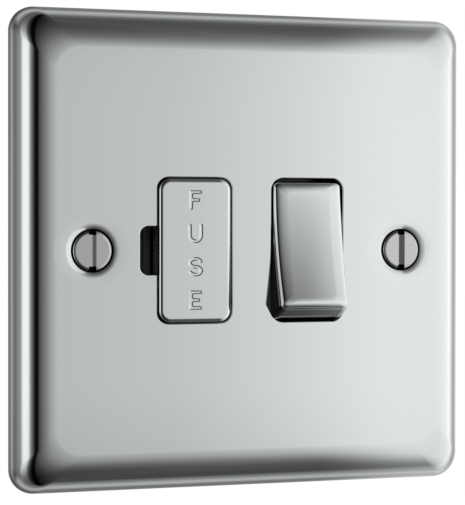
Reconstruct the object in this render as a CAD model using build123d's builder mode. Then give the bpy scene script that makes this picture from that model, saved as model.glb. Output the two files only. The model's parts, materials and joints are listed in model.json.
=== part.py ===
from build123d import *
import os
from math import cos, hypot, radians, sin, sqrt, tan

# Switched fused connection unit for a flush wall box, in millimetres.
# X runs to the right, Y runs into the wall and Z runs up; Y = 0 is the wall surface.

# Front plate
plate_w = 88.0  # side of the square plate at its rim
plate_proj = 7.0  # how far the face stands off the wall
sheet = 1.0  # pressed steel
rim_lip = 0.4  # straight edge left at the wall
shoulder = 7.4  # width of the rolled edge, seen from the front
corner_r = 4.5
roll_steps = 9  # sections of the loft round the rolled edge

# Openings through the plate
bay_x = 11.0  # fuse bay at -X, switch bay at +X
bay_w = 14.4
bay_r = 1.8
notch_w = 3.3  # slot beside the fuse carrier for a screwdriver
notch_h = 8.9
notch_r = 0.9
ramp_start = 0.6  # shallow end of the notch floor, below the plate
ramp_drop = 4.0  # deep end of the notch floor, below the plate
ramp_bulge = 0.54  # of the floor between its ends, towards the room

# Fits
reveal = 0.4  # gap seen round the carrier and the rocker
guide_gap = 0.35  # carrier body in its guide
running = 0.05  # pins in bearings
seat_gap = 0.1  # metal parts in moulded pockets
bore_gap = 0.08  # plungers in their bores
swing_gap = 0.3  # round the trunnions where the cap passes them

# Fixing screws, at the standard spacing of a single box
screw_pitch = 60.3
screw_r = 1.75
screw_neck_r = 1.5
screw_reach = 20.5  # thread behind the wall surface
thread_start = 0.5  # thread ahead of the wall surface
screw_tip = 0.5
screw_head_r = 3.65
screw_bevel_w = 0.65  # bevel round the face of the head
screw_bevel_h = 0.35
screw_sink = 0.0  # head below the face of the plate
screw_slot_w = 1.4
screw_slot_depth = 1.1
screw_seat_gap = 0.12  # cone of the head to its seat
screw_hole_gap = 0.6  # round the neck
dimple_gap = 0.5  # round the head
dimple_lip_r = 6.0  # soft bend from the face into the dimple
dimple_lip_turn = 15.0
dimple_wall = 0.5  # steep wall between the bend and the cone
dimple_draft = 0.15

# Insulating frame behind the plate
liner_gap = 0.6  # inside the flat of the plate
liner_r = 4.0
liner_web = 1.8
liner_wall = 1.8
guide_wall = 1.3
guide_depth = 5.2  # guide tube below the web
cheek_wall = 1.2
cheek_h = 11.0
cheek_depth = 3.0
hood_gap = 1.1  # behind the swing of the rocker's ends
hood_wall = 1.2
hood_in = 2.2  # lip behind the ends of the rocker

# Studs welded inside the plate, and their nuts
stud_z = 22.0
stud_r = 1.5
stud_end = 0.8  # clear of the wall surface
nut_af = 5.5
nut_h = 2.0
nut_gap = 0.4  # round the corners of the nuts
nut_side = 2.0  # nuts inside the skirt of the frame

# Rear housing
house_r = 2.0
house_edge = 0.8  # chamfer round the rear face
cave_h = 38.0  # mechanism cavity
end_wall = 2.0  # between the cavity and the terminals
edge_lip = 1.0  # housing beyond the terminals
skin = 1.9  # behind the deepest channel
rear_wall = 0.5  # between the rear recess and the terminals
rib = 1.2
rib_drop = 1.5  # ribs below the faces they stiffen
pillar_z = 15.0
pillar_wall = 0.9
boss_r = 2.35
boss_len = 5.0
house_screw_r = 1.25
house_screw_head_r = 2.3
house_screw_head_h = 1.6
house_screw_bite = 4.4  # screw inside the boss
house_screw_depth = 8.0  # seats of the heads below the rear face
screw_cross = 0.7  # width of the cross slots
lug_h = 15.0  # side relief over the lugs of the box
lug_depth = 3.0
lug_front = 0.3
relief_wall = 1.8

# Conductors
strip = 0.8
strip_w = 3.0
pole_gap = 6.6  # between the two switch poles
rail_drop = 1.8  # pivot strips behind the floor
post_half = 1.2

# Terminals
term_w = 8.0
term_h = 8.0
term_depth = 9.4
term_bore_r = 2.5
term_bore_drop = 4.0  # bore axis behind the front of the block
term_bore_len = 6.8
term_shift = 2.1  # terminals outboard of the switch poles
term_screw_r = 2.0
term_screw_head_r = 2.7
term_screw_head_h = 1.5
term_screw_slot = 0.9
term_recess = 2.0  # blocks inside the rear face

# Earth strap
tail_w = 4.0
foot_h = 5.2
strap_w = 2.9

# Fuse link, 1/4 in by 1 in
fuse_len = 25.4
fuse_cap_r = 3.175
fuse_cap_len = 5.5
fuse_cap_wall = 0.3
fuse_cap_edge = 0.3
fuse_tube_r = 2.8
fuse_lift = 1.0  # end caps clear of the floor of the clips
clip_gap = 0.12
clip_sheet = 0.7
clip_w = 4.4
clip_lip = 0.5  # flare at the mouth of the clips
clip_flare = 1.2
clip_short = 0.6  # lips short of the front of the fuse

# Fuse carrier
fuse_room = 0.3  # carrier beyond each end of the fuse
carrier_proud = 1.0
carrier_edge_r = 0.8
carrier_wall = 0.8
carrier_skirt = 1.2  # face shell below the plate face
carrier_inset = 0.2  # body inside the face
carrier_block = 3.2  # body below the face shell
cradle_w = 9.6
cradle_h = 10.0
cradle_mouth = 4.6
cradle_grip = 2.1  # jaws behind the axis of the fuse
cradle_edge_r = 1.0
lift_depth = 1.6  # recess for the screwdriver
lift_h = 7.9
lift_drop = 2.0

# Rocker
throw = 23.0  # whole swing, degrees
pivot_drop = 2.6  # pivot behind the face of the plate
trunnion_r = 1.2
trunnion_gap = 0.2  # ends of the trunnions inside the cheeks
rocker_front = 5.2  # ends of the face, ahead of the pivot at mid swing
rocker_back = -1.6
rocker_end_gap = 1.9  # ends of the face inside the bay
rocker_draft = 10.0
rocker_dish = 0.86
rocker_wall = 0.9
rocker_edge_r = 1.1
rocker_corner_r = 1.6
cradle_half = 3.6
cradle_roof = 2.0
cradle_haunch = 0.8
cradle_end_gap = 0.4
holder_back = -4.2
plunger_r = 1.42
plunger_tip = 7.0  # from the pivot to the end of the plunger
plunger_top = -0.6
plunger_flat = 0.1
plunger_gap = 0.21  # to the groove of the seesaw at mid swing
bore_roof = 1.0
spring_wire_r = 0.2
spring_r = 0.95
spring_turns = 4

# Seesaw contacts
lever_tilt = 7.0  # either side of level
lever_front = 1.24  # face of the strip, ahead of the axis of its bead
lever_end = 1.4  # strip beyond the centre of the tip
lever_down = 6.5
bead_r = 0.7
groove_r = 1.7
groove_depth = 0.35
post_gap = 0.1  # top of the post ahead of the axis
tip_z = 9.0
tip_r = 1.3
tip_h = 0.6
tip_fixed_h = 0.5
tip_gap = 0.08  # left between closed contacts

# Positions across the wall
face_y = -plate_proj
under_y = face_y + sheet
web_y = under_y + liner_web
roll_rise = plate_proj - rim_lip
guide_back_y = web_y + guide_depth
ramp_y = under_y + ramp_drop
pivot_y = face_y + pivot_drop
lean = radians(throw / 2)
tilt = radians(lever_tilt)
lever_y = pivot_y + plunger_tip + plunger_gap + lever_front - groove_depth
lever_rear = lever_front - strip
closed_y = lever_y + sin(tilt) * (tip_z + tip_r) + cos(tilt) * (tip_h - lever_rear) + tip_gap
strip_y = closed_y + tip_fixed_h
floor_y = strip_y + strip
rail_y = floor_y + rail_drop
floor_back_y = rail_y + strip + skin
term_front_y = strip_y - seat_gap
term_back_y = term_front_y + term_depth
term_bore_y = term_front_y + term_bore_drop
rear_y = term_back_y + term_recess
fuse_y = strip_y - fuse_lift - fuse_cap_r
shell_y = face_y + carrier_skirt
carrier_back_y = shell_y + carrier_block
cradle_back_y = fuse_y + cradle_grip
boss_y = web_y + boss_len
house_screw_seat_y = rear_y - house_screw_depth

# Positions along the wall
screw_x = screw_pitch / 2
screw_hole_r = screw_neck_r + screw_hole_gap
dimple_turn = radians(dimple_lip_turn)
dimple_mouth_r = screw_head_r + dimple_gap
dimple_seat_r = dimple_mouth_r - dimple_draft
dimple_r = dimple_mouth_r + dimple_lip_r * sin(dimple_turn)
mouth_y = face_y + dimple_lip_r * (1 - cos(dimple_turn))
seat_y = mouth_y + dimple_wall
hole_y = seat_y + dimple_seat_r - screw_hole_r
back_y = hole_y + sheet * sqrt(2)
skin_y = (face_y + under_y) / 2
dimple_back_r = screw_hole_r + back_y - under_y
carrier_h = fuse_len + 2 * fuse_room
bay_h = carrier_h + 2 * reveal
carrier_w = bay_w - 2 * reveal
body_w = carrier_w - 2 * carrier_inset
body_h = carrier_h - 2 * carrier_inset
guide_w = body_w + 2 * guide_gap
guide_h = body_h + 2 * guide_gap
rocker_w = bay_w - 2 * reveal
rocker_end = bay_h / 2 - rocker_end_gap
wall_run = rocker_front - rocker_back
rocker_base = rocker_end + wall_run * tan(radians(rocker_draft))
hood_y = pivot_y + rocker_base * sin(lean) - rocker_back * cos(lean) + hood_gap
notch_x = -bay_x - bay_w / 2
liner_w = plate_w - 2 * shoulder - 2 * liner_gap
liner_in = liner_w - 2 * liner_wall
pole_line_x = bay_x - pole_gap / 2
pole_neutral_x = bay_x + pole_gap / 2
cave_x = bay_x + bay_w / 2 + cheek_wall + seat_gap
cave_z = cave_h / 2
pillar_x = cave_x + pillar_wall + boss_r
house_w = 2 * (pillar_x + boss_r + pillar_wall)
nut_r = nut_af / sqrt(3)
stud_x = liner_in / 2 - nut_side - nut_r
term_in = cave_z + end_wall
term_out = term_in + term_h
term_screw_z = term_in + term_h / 2
house_h = 2 * (term_out + edge_lip)
term_left_x = -bay_x
term_mid_x = pole_line_x - term_shift
term_right_x = pole_neutral_x + term_shift
tail_x = (term_left_x + term_mid_x) / 2
strap_z = term_in - strip
lever_up = tip_z + lever_end
clip_in = fuse_cap_r + clip_gap
clip_out = clip_in + clip_sheet
clip_z = fuse_len / 2 - fuse_cap_len / 2


def block(x, y, z, mode=Mode.ADD):
    """Adds or cuts a block from its (low, high) limits along X, Y and Z."""
    with Locations(((x[0] + x[1]) / 2, (y[0] + y[1]) / 2, (z[0] + z[1]) / 2)):
        Box(x[1] - x[0], y[1] - y[0], z[1] - z[0], mode=mode)


def about(centre, half):
    """Limits of a width centred on a point."""
    return (centre - half, centre + half)


def wall_plane(y):
    """Plane parallel to the wall, drawn from the front: local x is X, local y is Z."""
    return Plane.XZ.offset(-y)


def side_plane(x, y, angle):
    """Plane across X at a pivot, leaning by an angle: local x runs up, local y to the front."""
    return Plane((x, y, 0), x_dir=(0, sin(angle), cos(angle)), z_dir=(1, 0, 0))


def fuse_clip(z):
    """Sprung U-shaped clip with flared lips, bent from strip, at a height."""
    lip_y = fuse_y - fuse_cap_r + clip_short
    bend_y = lip_y + clip_flare
    with BuildSketch(Plane.XY.offset(z - clip_w / 2)) as outline:
        with BuildLine():
            half = Polyline(
                (-bay_x, floor_y),
                (-bay_x + clip_out, floor_y),
                (-bay_x + clip_out, bend_y),
                (-bay_x + clip_out + clip_lip, lip_y),
                (-bay_x + clip_in + clip_lip, lip_y),
                (-bay_x + clip_in, bend_y),
                (-bay_x + clip_in, strip_y),
                (-bay_x, strip_y),
            )
            mirror(half, about=Plane.YZ.offset(-bay_x))
        make_face()
    extrude(outline.sketch, amount=clip_w)


def pillar_terminal(x, bank):
    """Brass pillar with a blind conductor bore at its outer end and a screw hole behind."""
    block(about(x, term_w / 2), (term_front_y, term_back_y), sorted((bank * term_in, bank * term_out)))
    with Locations((x, term_bore_y, bank * (term_out - term_bore_len / 2))):
        Cylinder(term_bore_r, term_bore_len, mode=Mode.SUBTRACT)
    with Locations(Location((x, (term_bore_y + term_back_y) / 2, bank * term_screw_z), (90, 0, 0))):
        Cylinder(term_screw_r + running, term_back_y - term_bore_y, mode=Mode.SUBTRACT)


def seesaw(x):
    """Contact strip with a pressed bead that rocks on its post, drawn switched off."""
    with BuildSketch(side_plane(x, lever_y, -tilt)) as outline:
        with Locations(((lever_up - lever_down) / 2, (lever_front + lever_rear) / 2)):
            Rectangle(lever_up + lever_down, strip)
        Circle(bead_r)
        with Locations((0, lever_front + groove_r - groove_depth)):
            Circle(groove_r, mode=Mode.SUBTRACT)
    extrude(outline.sketch, amount=strip_w / 2, both=True)


def seesaw_tip(x):
    """Silver rivet on the back of a seesaw."""
    back = Plane((x, lever_y, 0), x_dir=(1, 0, 0), z_dir=(0, cos(tilt), sin(tilt)))
    with BuildSketch(back.offset(-lever_rear)) as outline:
        with Locations((0, -tip_z)):
            Circle(tip_r)
    extrude(outline.sketch, amount=tip_h)


def fulcrum(x):
    """Grooved pivot post on a strip that runs down to a supply terminal."""
    block(about(x, strip_w / 2), (lever_y - post_gap, rail_y + strip), about(0, post_half))
    block(about(x, strip_w / 2), (rail_y, rail_y + strip), (-term_in, 0))
    with Locations(Location((x, lever_y, 0), (0, 90, 0))):
        Cylinder(bead_r + running, 2 * strip_w, mode=Mode.SUBTRACT)


# Pressed front plate: a rolled shoulder lofted through rounded squares
roll_angles = [radians(90 * step / roll_steps) for step in range(roll_steps, -1, -1)]
with BuildPart() as front_plate:
    for angle in roll_angles:
        side = plate_w - 2 * shoulder * (1 - sin(angle))
        with BuildSketch(wall_plane(-rim_lip - roll_rise * cos(angle))):
            RectangleRounded(side, side, corner_r)
    loft()
    with BuildSketch(wall_plane(0)):
        RectangleRounded(plate_w, plate_w, corner_r)
    extrude(amount=rim_lip)
    for angle in roll_angles:
        side = plate_w - 2 * shoulder + 2 * (shoulder - sheet) * sin(angle)
        with BuildSketch(wall_plane(-rim_lip - (roll_rise - sheet) * cos(angle))):
            RectangleRounded(side, side, corner_r - sheet)
    loft(mode=Mode.SUBTRACT)
    with BuildSketch(wall_plane(0)):
        RectangleRounded(plate_w - 2 * sheet, plate_w - 2 * sheet, corner_r - sheet)
    extrude(amount=rim_lip, mode=Mode.SUBTRACT)
    # Dimples for the fixing screws, pressed through to the back
    for side_x in (-screw_x, screw_x):
        with BuildSketch(Plane((side_x, 0, 0), x_dir=(1, 0, 0), z_dir=(0, 0, 1))):
            with BuildLine():
                Polyline(
                    (0, skin_y),
                    (dimple_back_r + under_y - skin_y, skin_y),
                    (screw_hole_r, back_y),
                    (0, back_y),
                    close=True,
                )
            make_face()
        revolve(axis=Axis((side_x, 0, 0), (0, 1, 0)))
        with BuildSketch(Plane((side_x, 0, 0), x_dir=(1, 0, 0), z_dir=(0, 0, 1))):
            with BuildLine():
                Polyline(
                    (0, back_y + sheet),
                    (0, face_y - sheet),
                    (dimple_r, face_y - sheet),
                    (dimple_r, face_y),
                )
                RadiusArc((dimple_r, face_y), (dimple_mouth_r, mouth_y), dimple_lip_r)
                Polyline(
                    (dimple_mouth_r, mouth_y),
                    (dimple_seat_r, seat_y),
                    (screw_hole_r, hole_y),
                    (screw_hole_r, back_y + sheet),
                    (0, back_y + sheet),
                )
            make_face()
        revolve(axis=Axis((side_x, 0, 0), (0, 1, 0)), mode=Mode.SUBTRACT)
    # Openings for the carrier, the rocker and the screwdriver
    with BuildSketch(wall_plane(under_y + sheet)):
        with Locations((-bay_x, 0), (bay_x, 0)):
            RectangleRounded(bay_w, bay_h, bay_r)
        with Locations((notch_x, 0)):
            RectangleRounded(2 * notch_w, notch_h, notch_r)
    extrude(amount=3 * sheet, mode=Mode.SUBTRACT)

# Weld studs inside the plate
with BuildPart() as plate_studs:
    with BuildSketch(wall_plane(-stud_end)):
        with GridLocations(2 * stud_x, 2 * stud_z, 2, 2):
            Circle(stud_r)
    extrude(amount=-under_y - stud_end)

# Nuts that draw the frame up to the plate
with BuildPart() as plate_nuts:
    with BuildSketch(wall_plane(web_y + nut_h)):
        with GridLocations(2 * stud_x, 2 * stud_z, 2, 2):
            RegularPolygon(nut_af / 2, 6, major_radius=False)
            Circle(stud_r + running, mode=Mode.SUBTRACT)
    extrude(amount=nut_h)

# Moulded insulating frame: web, skirt, carrier guide, rocker bearings and locating bosses
with BuildPart() as liner_frame:
    with BuildSketch(wall_plane(web_y)):
        RectangleRounded(liner_w, liner_w, liner_r)
    extrude(amount=liner_web)
    with BuildSketch(wall_plane(-rim_lip)):
        RectangleRounded(liner_w, liner_w, liner_r)
        RectangleRounded(liner_in, liner_in, liner_r - liner_wall, mode=Mode.SUBTRACT)
    extrude(amount=-web_y - rim_lip)
    with BuildSketch(wall_plane(guide_back_y)):
        with Locations((-bay_x, 0)):
            RectangleRounded(guide_w + 2 * guide_wall, guide_h + 2 * guide_wall, bay_r)
    extrude(amount=guide_depth)
    for cheek_side in (-1, 1):
        cheek_in = bay_x + cheek_side * bay_w / 2
        cheek_out = cheek_in + cheek_side * cheek_wall
        block(sorted((cheek_in, cheek_out)), (web_y, web_y + cheek_depth), about(0, cheek_h / 2))
    # Hoods that close the view past the ends of the rocker
    for end in (-1, 1):
        hood_x = about(bay_x, bay_w / 2 + cheek_wall)
        hood_z = bay_h / 2
        block(hood_x, (web_y, hood_y + hood_wall), sorted((end * hood_z, end * (hood_z + hood_wall))))
        block(hood_x, (hood_y, hood_y + hood_wall), sorted((end * (hood_z - hood_in), end * hood_z)))
    block(
        (notch_x - notch_w - guide_wall, notch_x),
        (web_y, ramp_y + guide_wall),
        about(0, notch_h / 2 + guide_wall),
    )
    with BuildSketch(wall_plane(boss_y)):
        with GridLocations(2 * pillar_x, 2 * pillar_z, 2, 2):
            Circle(boss_r)
    extrude(amount=boss_len)
    # Ribs from the housing out to the skirt
    for rib_side in (-1, 1):
        for rib_z in (-pillar_z, pillar_z):
            block(
                sorted((rib_side * (house_w / 2 + seat_gap), rib_side * (liner_w / 2 - liner_wall / 2))),
                (web_y, -rim_lip - rib_drop),
                about(rib_z, rib / 2),
            )
    # Ways through for the carrier and the rocker
    with BuildSketch(wall_plane(guide_back_y)):
        with Locations((-bay_x, 0)):
            RectangleRounded(guide_w, guide_h, bay_r)
    extrude(amount=guide_back_y - face_y, mode=Mode.SUBTRACT)
    with BuildSketch(wall_plane(web_y + cheek_depth)):
        with Locations((bay_x, 0)):
            RectangleRounded(bay_w, bay_h, bay_r)
    extrude(amount=web_y + cheek_depth - face_y, mode=Mode.SUBTRACT)
    with BuildSketch(side_plane(bay_x, pivot_y, 0)):
        Circle(trunnion_r + running)
    extrude(amount=bay_w / 2 + cheek_wall, both=True, mode=Mode.SUBTRACT)
    # Sloping floor of the screwdriver notch
    with BuildSketch(Plane.XY):
        with BuildLine():
            SagittaArc(
                (notch_x - notch_w / 3, ramp_y), (notch_x - notch_w, under_y + ramp_start), ramp_bulge
            )
            Polyline(
                (notch_x - notch_w / 3, ramp_y),
                (notch_x + guide_wall, ramp_y),
                (notch_x + guide_wall, face_y),
                (notch_x - notch_w, face_y),
                (notch_x - notch_w, under_y + ramp_start),
            )
        make_face()
    extrude(amount=notch_h / 2, both=True, mode=Mode.SUBTRACT)
    # Holes for the dimples, the studs, the earth tail and the housing screws
    with BuildSketch(wall_plane(0)):
        with Locations((-screw_x, 0), (screw_x, 0)):
            Circle(dimple_back_r + seat_gap)
    extrude(amount=-under_y, mode=Mode.SUBTRACT)
    with BuildSketch(wall_plane(web_y)):
        with GridLocations(2 * stud_x, 2 * stud_z, 2, 2):
            Circle(stud_r + seat_gap)
        with Locations((tail_x, strap_z + (foot_h + strip) / 2)):
            Rectangle(tail_w + 2 * liner_gap, foot_h + strip + 2 * liner_gap)
    extrude(amount=liner_web, mode=Mode.SUBTRACT)
    with BuildSketch(wall_plane(boss_y)):
        with GridLocations(2 * pillar_x, 2 * pillar_z, 2, 2):
            Circle(house_screw_r + running)
    extrude(amount=boss_len, mode=Mode.SUBTRACT)

# Moulded rear housing with the mechanism cavity, strip channels and terminal wells
with BuildPart() as rear_housing:
    block(about(0, house_w / 2), (web_y, rear_y), about(0, house_h / 2))
    fillet(rear_housing.edges().filter_by(Axis.Y), house_r)
    chamfer(rear_housing.faces().sort_by(Axis.Y)[-1].edges(), house_edge)
    block(about(0, cave_x), (web_y, floor_y), about(0, cave_z), Mode.SUBTRACT)
    # Rear recess, with a cross of stiffening ribs
    block(about(0, cave_x - seat_gap), (floor_back_y, rear_y), about(0, cave_z - rear_wall), Mode.SUBTRACT)
    block(about(0, cave_x), (floor_back_y, rear_y - rib_drop), about(0, rib / 2))
    for rib_x in (-bay_x, 0, bay_x):
        block(about(rib_x, rib / 2), (floor_back_y, rear_y - rib_drop), about(0, cave_z))
    # Hollow front of the terminal banks
    for bank in (-1, 1):
        block(
            about(0, house_w / 2 - relief_wall),
            (web_y, term_front_y - relief_wall),
            sorted((bank * (term_in + relief_wall), bank * (house_h / 2 - relief_wall))),
            Mode.SUBTRACT,
        )
    # Wells, open to the back and to the edge where the conductors enter
    for well_x in (term_left_x, term_mid_x, term_right_x):
        for bank in (-1, 1):
            block(
                about(well_x, term_w / 2 + seat_gap),
                (term_front_y - seat_gap, rear_y),
                sorted((bank * (term_in - seat_gap), bank * house_h / 2)),
                Mode.SUBTRACT,
            )
    # Channels for the pivot strips, and slots through the end walls
    for pole_x in (pole_line_x, pole_neutral_x):
        block(
            about(pole_x, strip_w / 2 + seat_gap),
            (floor_y, rail_y + strip),
            (-term_in, post_half + seat_gap),
            Mode.SUBTRACT,
        )
    block(
        about(pole_neutral_x, strip_w / 2 + seat_gap),
        (term_front_y, floor_y),
        (cave_z - seat_gap, term_in),
        Mode.SUBTRACT,
    )
    block(
        about(term_left_x, clip_w / 2 + seat_gap),
        (term_front_y, floor_y),
        (-term_in, seat_gap - cave_z),
        Mode.SUBTRACT,
    )
    # Earth strap slot behind the upper wall
    block(
        (term_left_x - tail_w / 2 - seat_gap, term_mid_x + tail_w / 2 + seat_gap),
        (floor_y - seat_gap, floor_y + strap_w + seat_gap),
        (strap_z - seat_gap, term_in),
        Mode.SUBTRACT,
    )
    block(
        about(tail_x, tail_w / 2 + seat_gap),
        (web_y, floor_y + strap_w + seat_gap),
        (strap_z - seat_gap, term_in + seat_gap),
        Mode.SUBTRACT,
    )
    # Pillars for the housing screws
    with BuildSketch(wall_plane(boss_y + seat_gap)):
        with GridLocations(2 * pillar_x, 2 * pillar_z, 2, 2):
            Circle(boss_r + seat_gap)
    extrude(amount=boss_len + seat_gap, mode=Mode.SUBTRACT)
    with BuildSketch(wall_plane(rear_y)):
        with GridLocations(2 * pillar_x, 2 * pillar_z, 2, 2):
            Circle(house_screw_r + 2 * seat_gap)
    extrude(amount=rear_y - web_y, mode=Mode.SUBTRACT)
    with BuildSketch(wall_plane(rear_y)):
        with GridLocations(2 * pillar_x, 2 * pillar_z, 2, 2):
            Circle(house_screw_head_r + 2 * seat_gap)
    extrude(amount=rear_y - house_screw_seat_y, mode=Mode.SUBTRACT)
    # Clearance for the plate nuts, the notch pocket of the frame and the lugs of the wall box
    with BuildSketch(wall_plane(rear_y)):
        with GridLocations(2 * stud_x, 2 * stud_z, 2, 2):
            Circle(nut_r + nut_gap)
    extrude(amount=rear_y - web_y, mode=Mode.SUBTRACT)
    block(
        (notch_x - notch_w - guide_wall - seat_gap, -cave_x),
        (web_y, ramp_y + guide_wall + seat_gap),
        about(0, notch_h / 2 + guide_wall + seat_gap),
        Mode.SUBTRACT,
    )
    for lug in (-1, 1):
        block(
            sorted((lug * (house_w / 2 - lug_depth), lug * house_w / 2)),
            (lug_front, rear_y),
            about(0, lug_h / 2),
            Mode.SUBTRACT,
        )

# Screws that hold the housing to the frame
with BuildPart() as housing_screws:
    with BuildSketch(wall_plane(house_screw_seat_y)):
        with GridLocations(2 * pillar_x, 2 * pillar_z, 2, 2):
            Circle(house_screw_r)
    extrude(amount=house_screw_seat_y - boss_y + house_screw_bite)
    with BuildSketch(wall_plane(house_screw_seat_y + house_screw_head_h)):
        with GridLocations(2 * pillar_x, 2 * pillar_z, 2, 2):
            Circle(house_screw_head_r)
    extrude(amount=house_screw_head_h)
    with BuildSketch(wall_plane(house_screw_seat_y + house_screw_head_h)):
        with GridLocations(2 * pillar_x, 2 * pillar_z, 2, 2):
            Rectangle(house_screw_head_r + house_screw_r / 2, screw_cross)
            Rectangle(screw_cross, house_screw_head_r + house_screw_r / 2)
    extrude(amount=house_screw_head_h / 2, mode=Mode.SUBTRACT)

# Slotted countersunk fixing screws with a waisted shank
with BuildPart() as fixing_screws:
    head_y = face_y + screw_sink
    cone_y = seat_y + dimple_seat_r - screw_head_r - screw_seat_gap * sqrt(2)
    neck_y = cone_y + screw_head_r - screw_neck_r
    for side_x in (-screw_x, screw_x):
        with BuildSketch(Plane((side_x, 0, 0), x_dir=(1, 0, 0), z_dir=(0, 0, 1))):
            with BuildLine():
                Polyline(
                    (0, head_y),
                    (screw_head_r - screw_bevel_w, head_y),
                    (screw_head_r, head_y + screw_bevel_h),
                    (screw_head_r, cone_y),
                    (screw_neck_r, neck_y),
                    (screw_neck_r, -thread_start),
                    (screw_r, -thread_start),
                    (screw_r, screw_reach),
                    (screw_r - screw_tip, screw_reach + screw_tip),
                    (0, screw_reach + screw_tip),
                    close=True,
                )
            make_face()
        revolve(axis=Axis((side_x, 0, 0), (0, 1, 0)))
    for side_x in (-screw_x, screw_x):
        block(
            about(side_x, screw_slot_w / 2),
            (head_y, head_y + screw_slot_depth),
            about(0, screw_head_r),
            Mode.SUBTRACT,
        )

# Metal face of the fuse carrier, a shallow shell with rounded front edges
with BuildPart() as fuse_carrier_face:
    with BuildSketch(wall_plane(shell_y)):
        with Locations((-bay_x, 0)):
            RectangleRounded(carrier_w, carrier_h, bay_r)
    extrude(amount=carrier_skirt + carrier_proud)
    fillet(fuse_carrier_face.faces().sort_by(Axis.Y)[0].edges(), carrier_edge_r)
    with BuildSketch(wall_plane(shell_y)):
        with Locations((-bay_x, 0)):
            RectangleRounded(carrier_w - 2 * carrier_wall, carrier_h - 2 * carrier_wall, bay_r - carrier_wall)
    extrude(amount=carrier_skirt + carrier_proud - carrier_wall, mode=Mode.SUBTRACT)

# Moulded carrier with a cradle that grips the middle of the fuse
with BuildPart() as fuse_carrier_body:
    with BuildSketch(wall_plane(carrier_back_y)):
        with Locations((-bay_x, 0)):
            RectangleRounded(body_w, body_h, bay_r - carrier_inset)
    extrude(amount=carrier_block)
    plug_inset = carrier_wall + seat_gap
    with BuildSketch(wall_plane(shell_y)):
        with Locations((-bay_x, 0)):
            RectangleRounded(carrier_w - 2 * plug_inset, carrier_h - 2 * plug_inset, bay_r - plug_inset)
    extrude(amount=carrier_skirt + carrier_proud - plug_inset)
    block(about(-bay_x, cradle_w / 2), (carrier_back_y, cradle_back_y), about(0, cradle_h / 2))
    fillet(fuse_carrier_body.edges().filter_by(Axis.Z).group_by(Axis.Y)[-1], cradle_edge_r)
    with BuildSketch(Plane.XY):
        with Locations((-bay_x, fuse_y)):
            Circle(fuse_tube_r + seat_gap)
        with Locations((-bay_x, fuse_y + cradle_grip)):
            Rectangle(cradle_mouth, 2 * cradle_grip)
    extrude(amount=cradle_h, both=True, mode=Mode.SUBTRACT)
    # Recess under the edge of the face where the screwdriver lifts
    block(
        (notch_x, -bay_x - carrier_w / 2 + lift_depth),
        (shell_y, shell_y + lift_drop),
        about(0, lift_h / 2),
        Mode.SUBTRACT,
    )

# Ceramic barrel of the fuse link
with BuildPart() as fuse_tube:
    with Locations((-bay_x, fuse_y, 0)):
        Cylinder(fuse_tube_r, fuse_len - 2 * fuse_cap_wall)

# Plated end caps of the fuse link
with BuildPart() as fuse_cap_upper:
    with Locations((-bay_x, fuse_y, clip_z)):
        Cylinder(fuse_cap_r, fuse_cap_len)
    fillet(fuse_cap_upper.faces().sort_by(Axis.Z)[-1].edges(), fuse_cap_edge)
    with Locations((-bay_x, fuse_y, clip_z - fuse_cap_wall)):
        Cylinder(fuse_tube_r, fuse_cap_len, mode=Mode.SUBTRACT)

with BuildPart() as fuse_cap_lower:
    with Locations((-bay_x, fuse_y, -clip_z)):
        Cylinder(fuse_cap_r, fuse_cap_len)
    fillet(fuse_cap_lower.faces().sort_by(Axis.Z)[0].edges(), fuse_cap_edge)
    with Locations((-bay_x, fuse_y, fuse_cap_wall - clip_z)):
        Cylinder(fuse_tube_r, fuse_cap_len, mode=Mode.SUBTRACT)

# Clip and link from the fixed line contact to the upper end of the fuse
with BuildPart() as supply_fuse_clip:
    fuse_clip(clip_z)
    block((-bay_x, pole_line_x + strip_w / 2), (strip_y, floor_y), about(tip_z, strip_w / 2))

# Clip and strip from the lower end of the fuse to its terminal
with BuildPart() as load_fuse_clip:
    fuse_clip(-clip_z)
    block(about(term_left_x, clip_w / 2), (strip_y, floor_y), (-term_in, -clip_z))

# Rocker planes: drawn in the switched-off position, top pressed in
rocker_face = Plane((bay_x, pivot_y, 0), x_dir=(1, 0, 0), z_dir=(0, -cos(lean), sin(lean)))
rocker_side = side_plane(bay_x, pivot_y, lean)
wall_len = hypot(wall_run, rocker_base - rocker_end)
inner_top = rocker_front - rocker_wall
inner_end = rocker_end - rocker_wall
cradle_top = inner_top - seat_gap
cradle_end = inner_end - cradle_end_gap
bore_top = cradle_top - rocker_dish - bore_roof

# Metal rocker cap: drafted ends, dished face, soft edges
with BuildPart() as rocker_cap:
    with BuildSketch(rocker_side):
        with BuildLine():
            Polyline(
                (-rocker_end, rocker_front),
                (-rocker_base, rocker_back),
                (rocker_base, rocker_back),
                (rocker_end, rocker_front),
            )
            ThreePointArc(
                (rocker_end, rocker_front),
                (0, rocker_front - rocker_dish),
                (-rocker_end, rocker_front),
            )
        make_face()
    extrude(amount=rocker_w / 2, both=True)
    fillet(rocker_cap.edges().filter_by(lambda e: abs(e.length - wall_len) < running), rocker_corner_r)
    fillet(
        rocker_cap.faces().filter_by(GeomType.CYLINDER).sort_by(SortBy.AREA)[-1].edges(),
        rocker_edge_r,
    )
    with BuildSketch(rocker_side):
        with BuildLine():
            Polyline(
                (-inner_end, inner_top),
                (rocker_wall - rocker_base, rocker_back),
                (rocker_base - rocker_wall, rocker_back),
                (inner_end, inner_top),
            )
            ThreePointArc((inner_end, inner_top), (0, inner_top - rocker_dish), (-inner_end, inner_top))
        make_face()
    extrude(amount=rocker_w / 2 - rocker_wall, both=True, mode=Mode.SUBTRACT)
    with BuildSketch(rocker_side):
        Circle(trunnion_r + swing_gap)
        with Locations((0, rocker_back)):
            Rectangle(2 * (trunnion_r + swing_gap), -2 * rocker_back)
    extrude(amount=rocker_w, both=True, mode=Mode.SUBTRACT)

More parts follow.
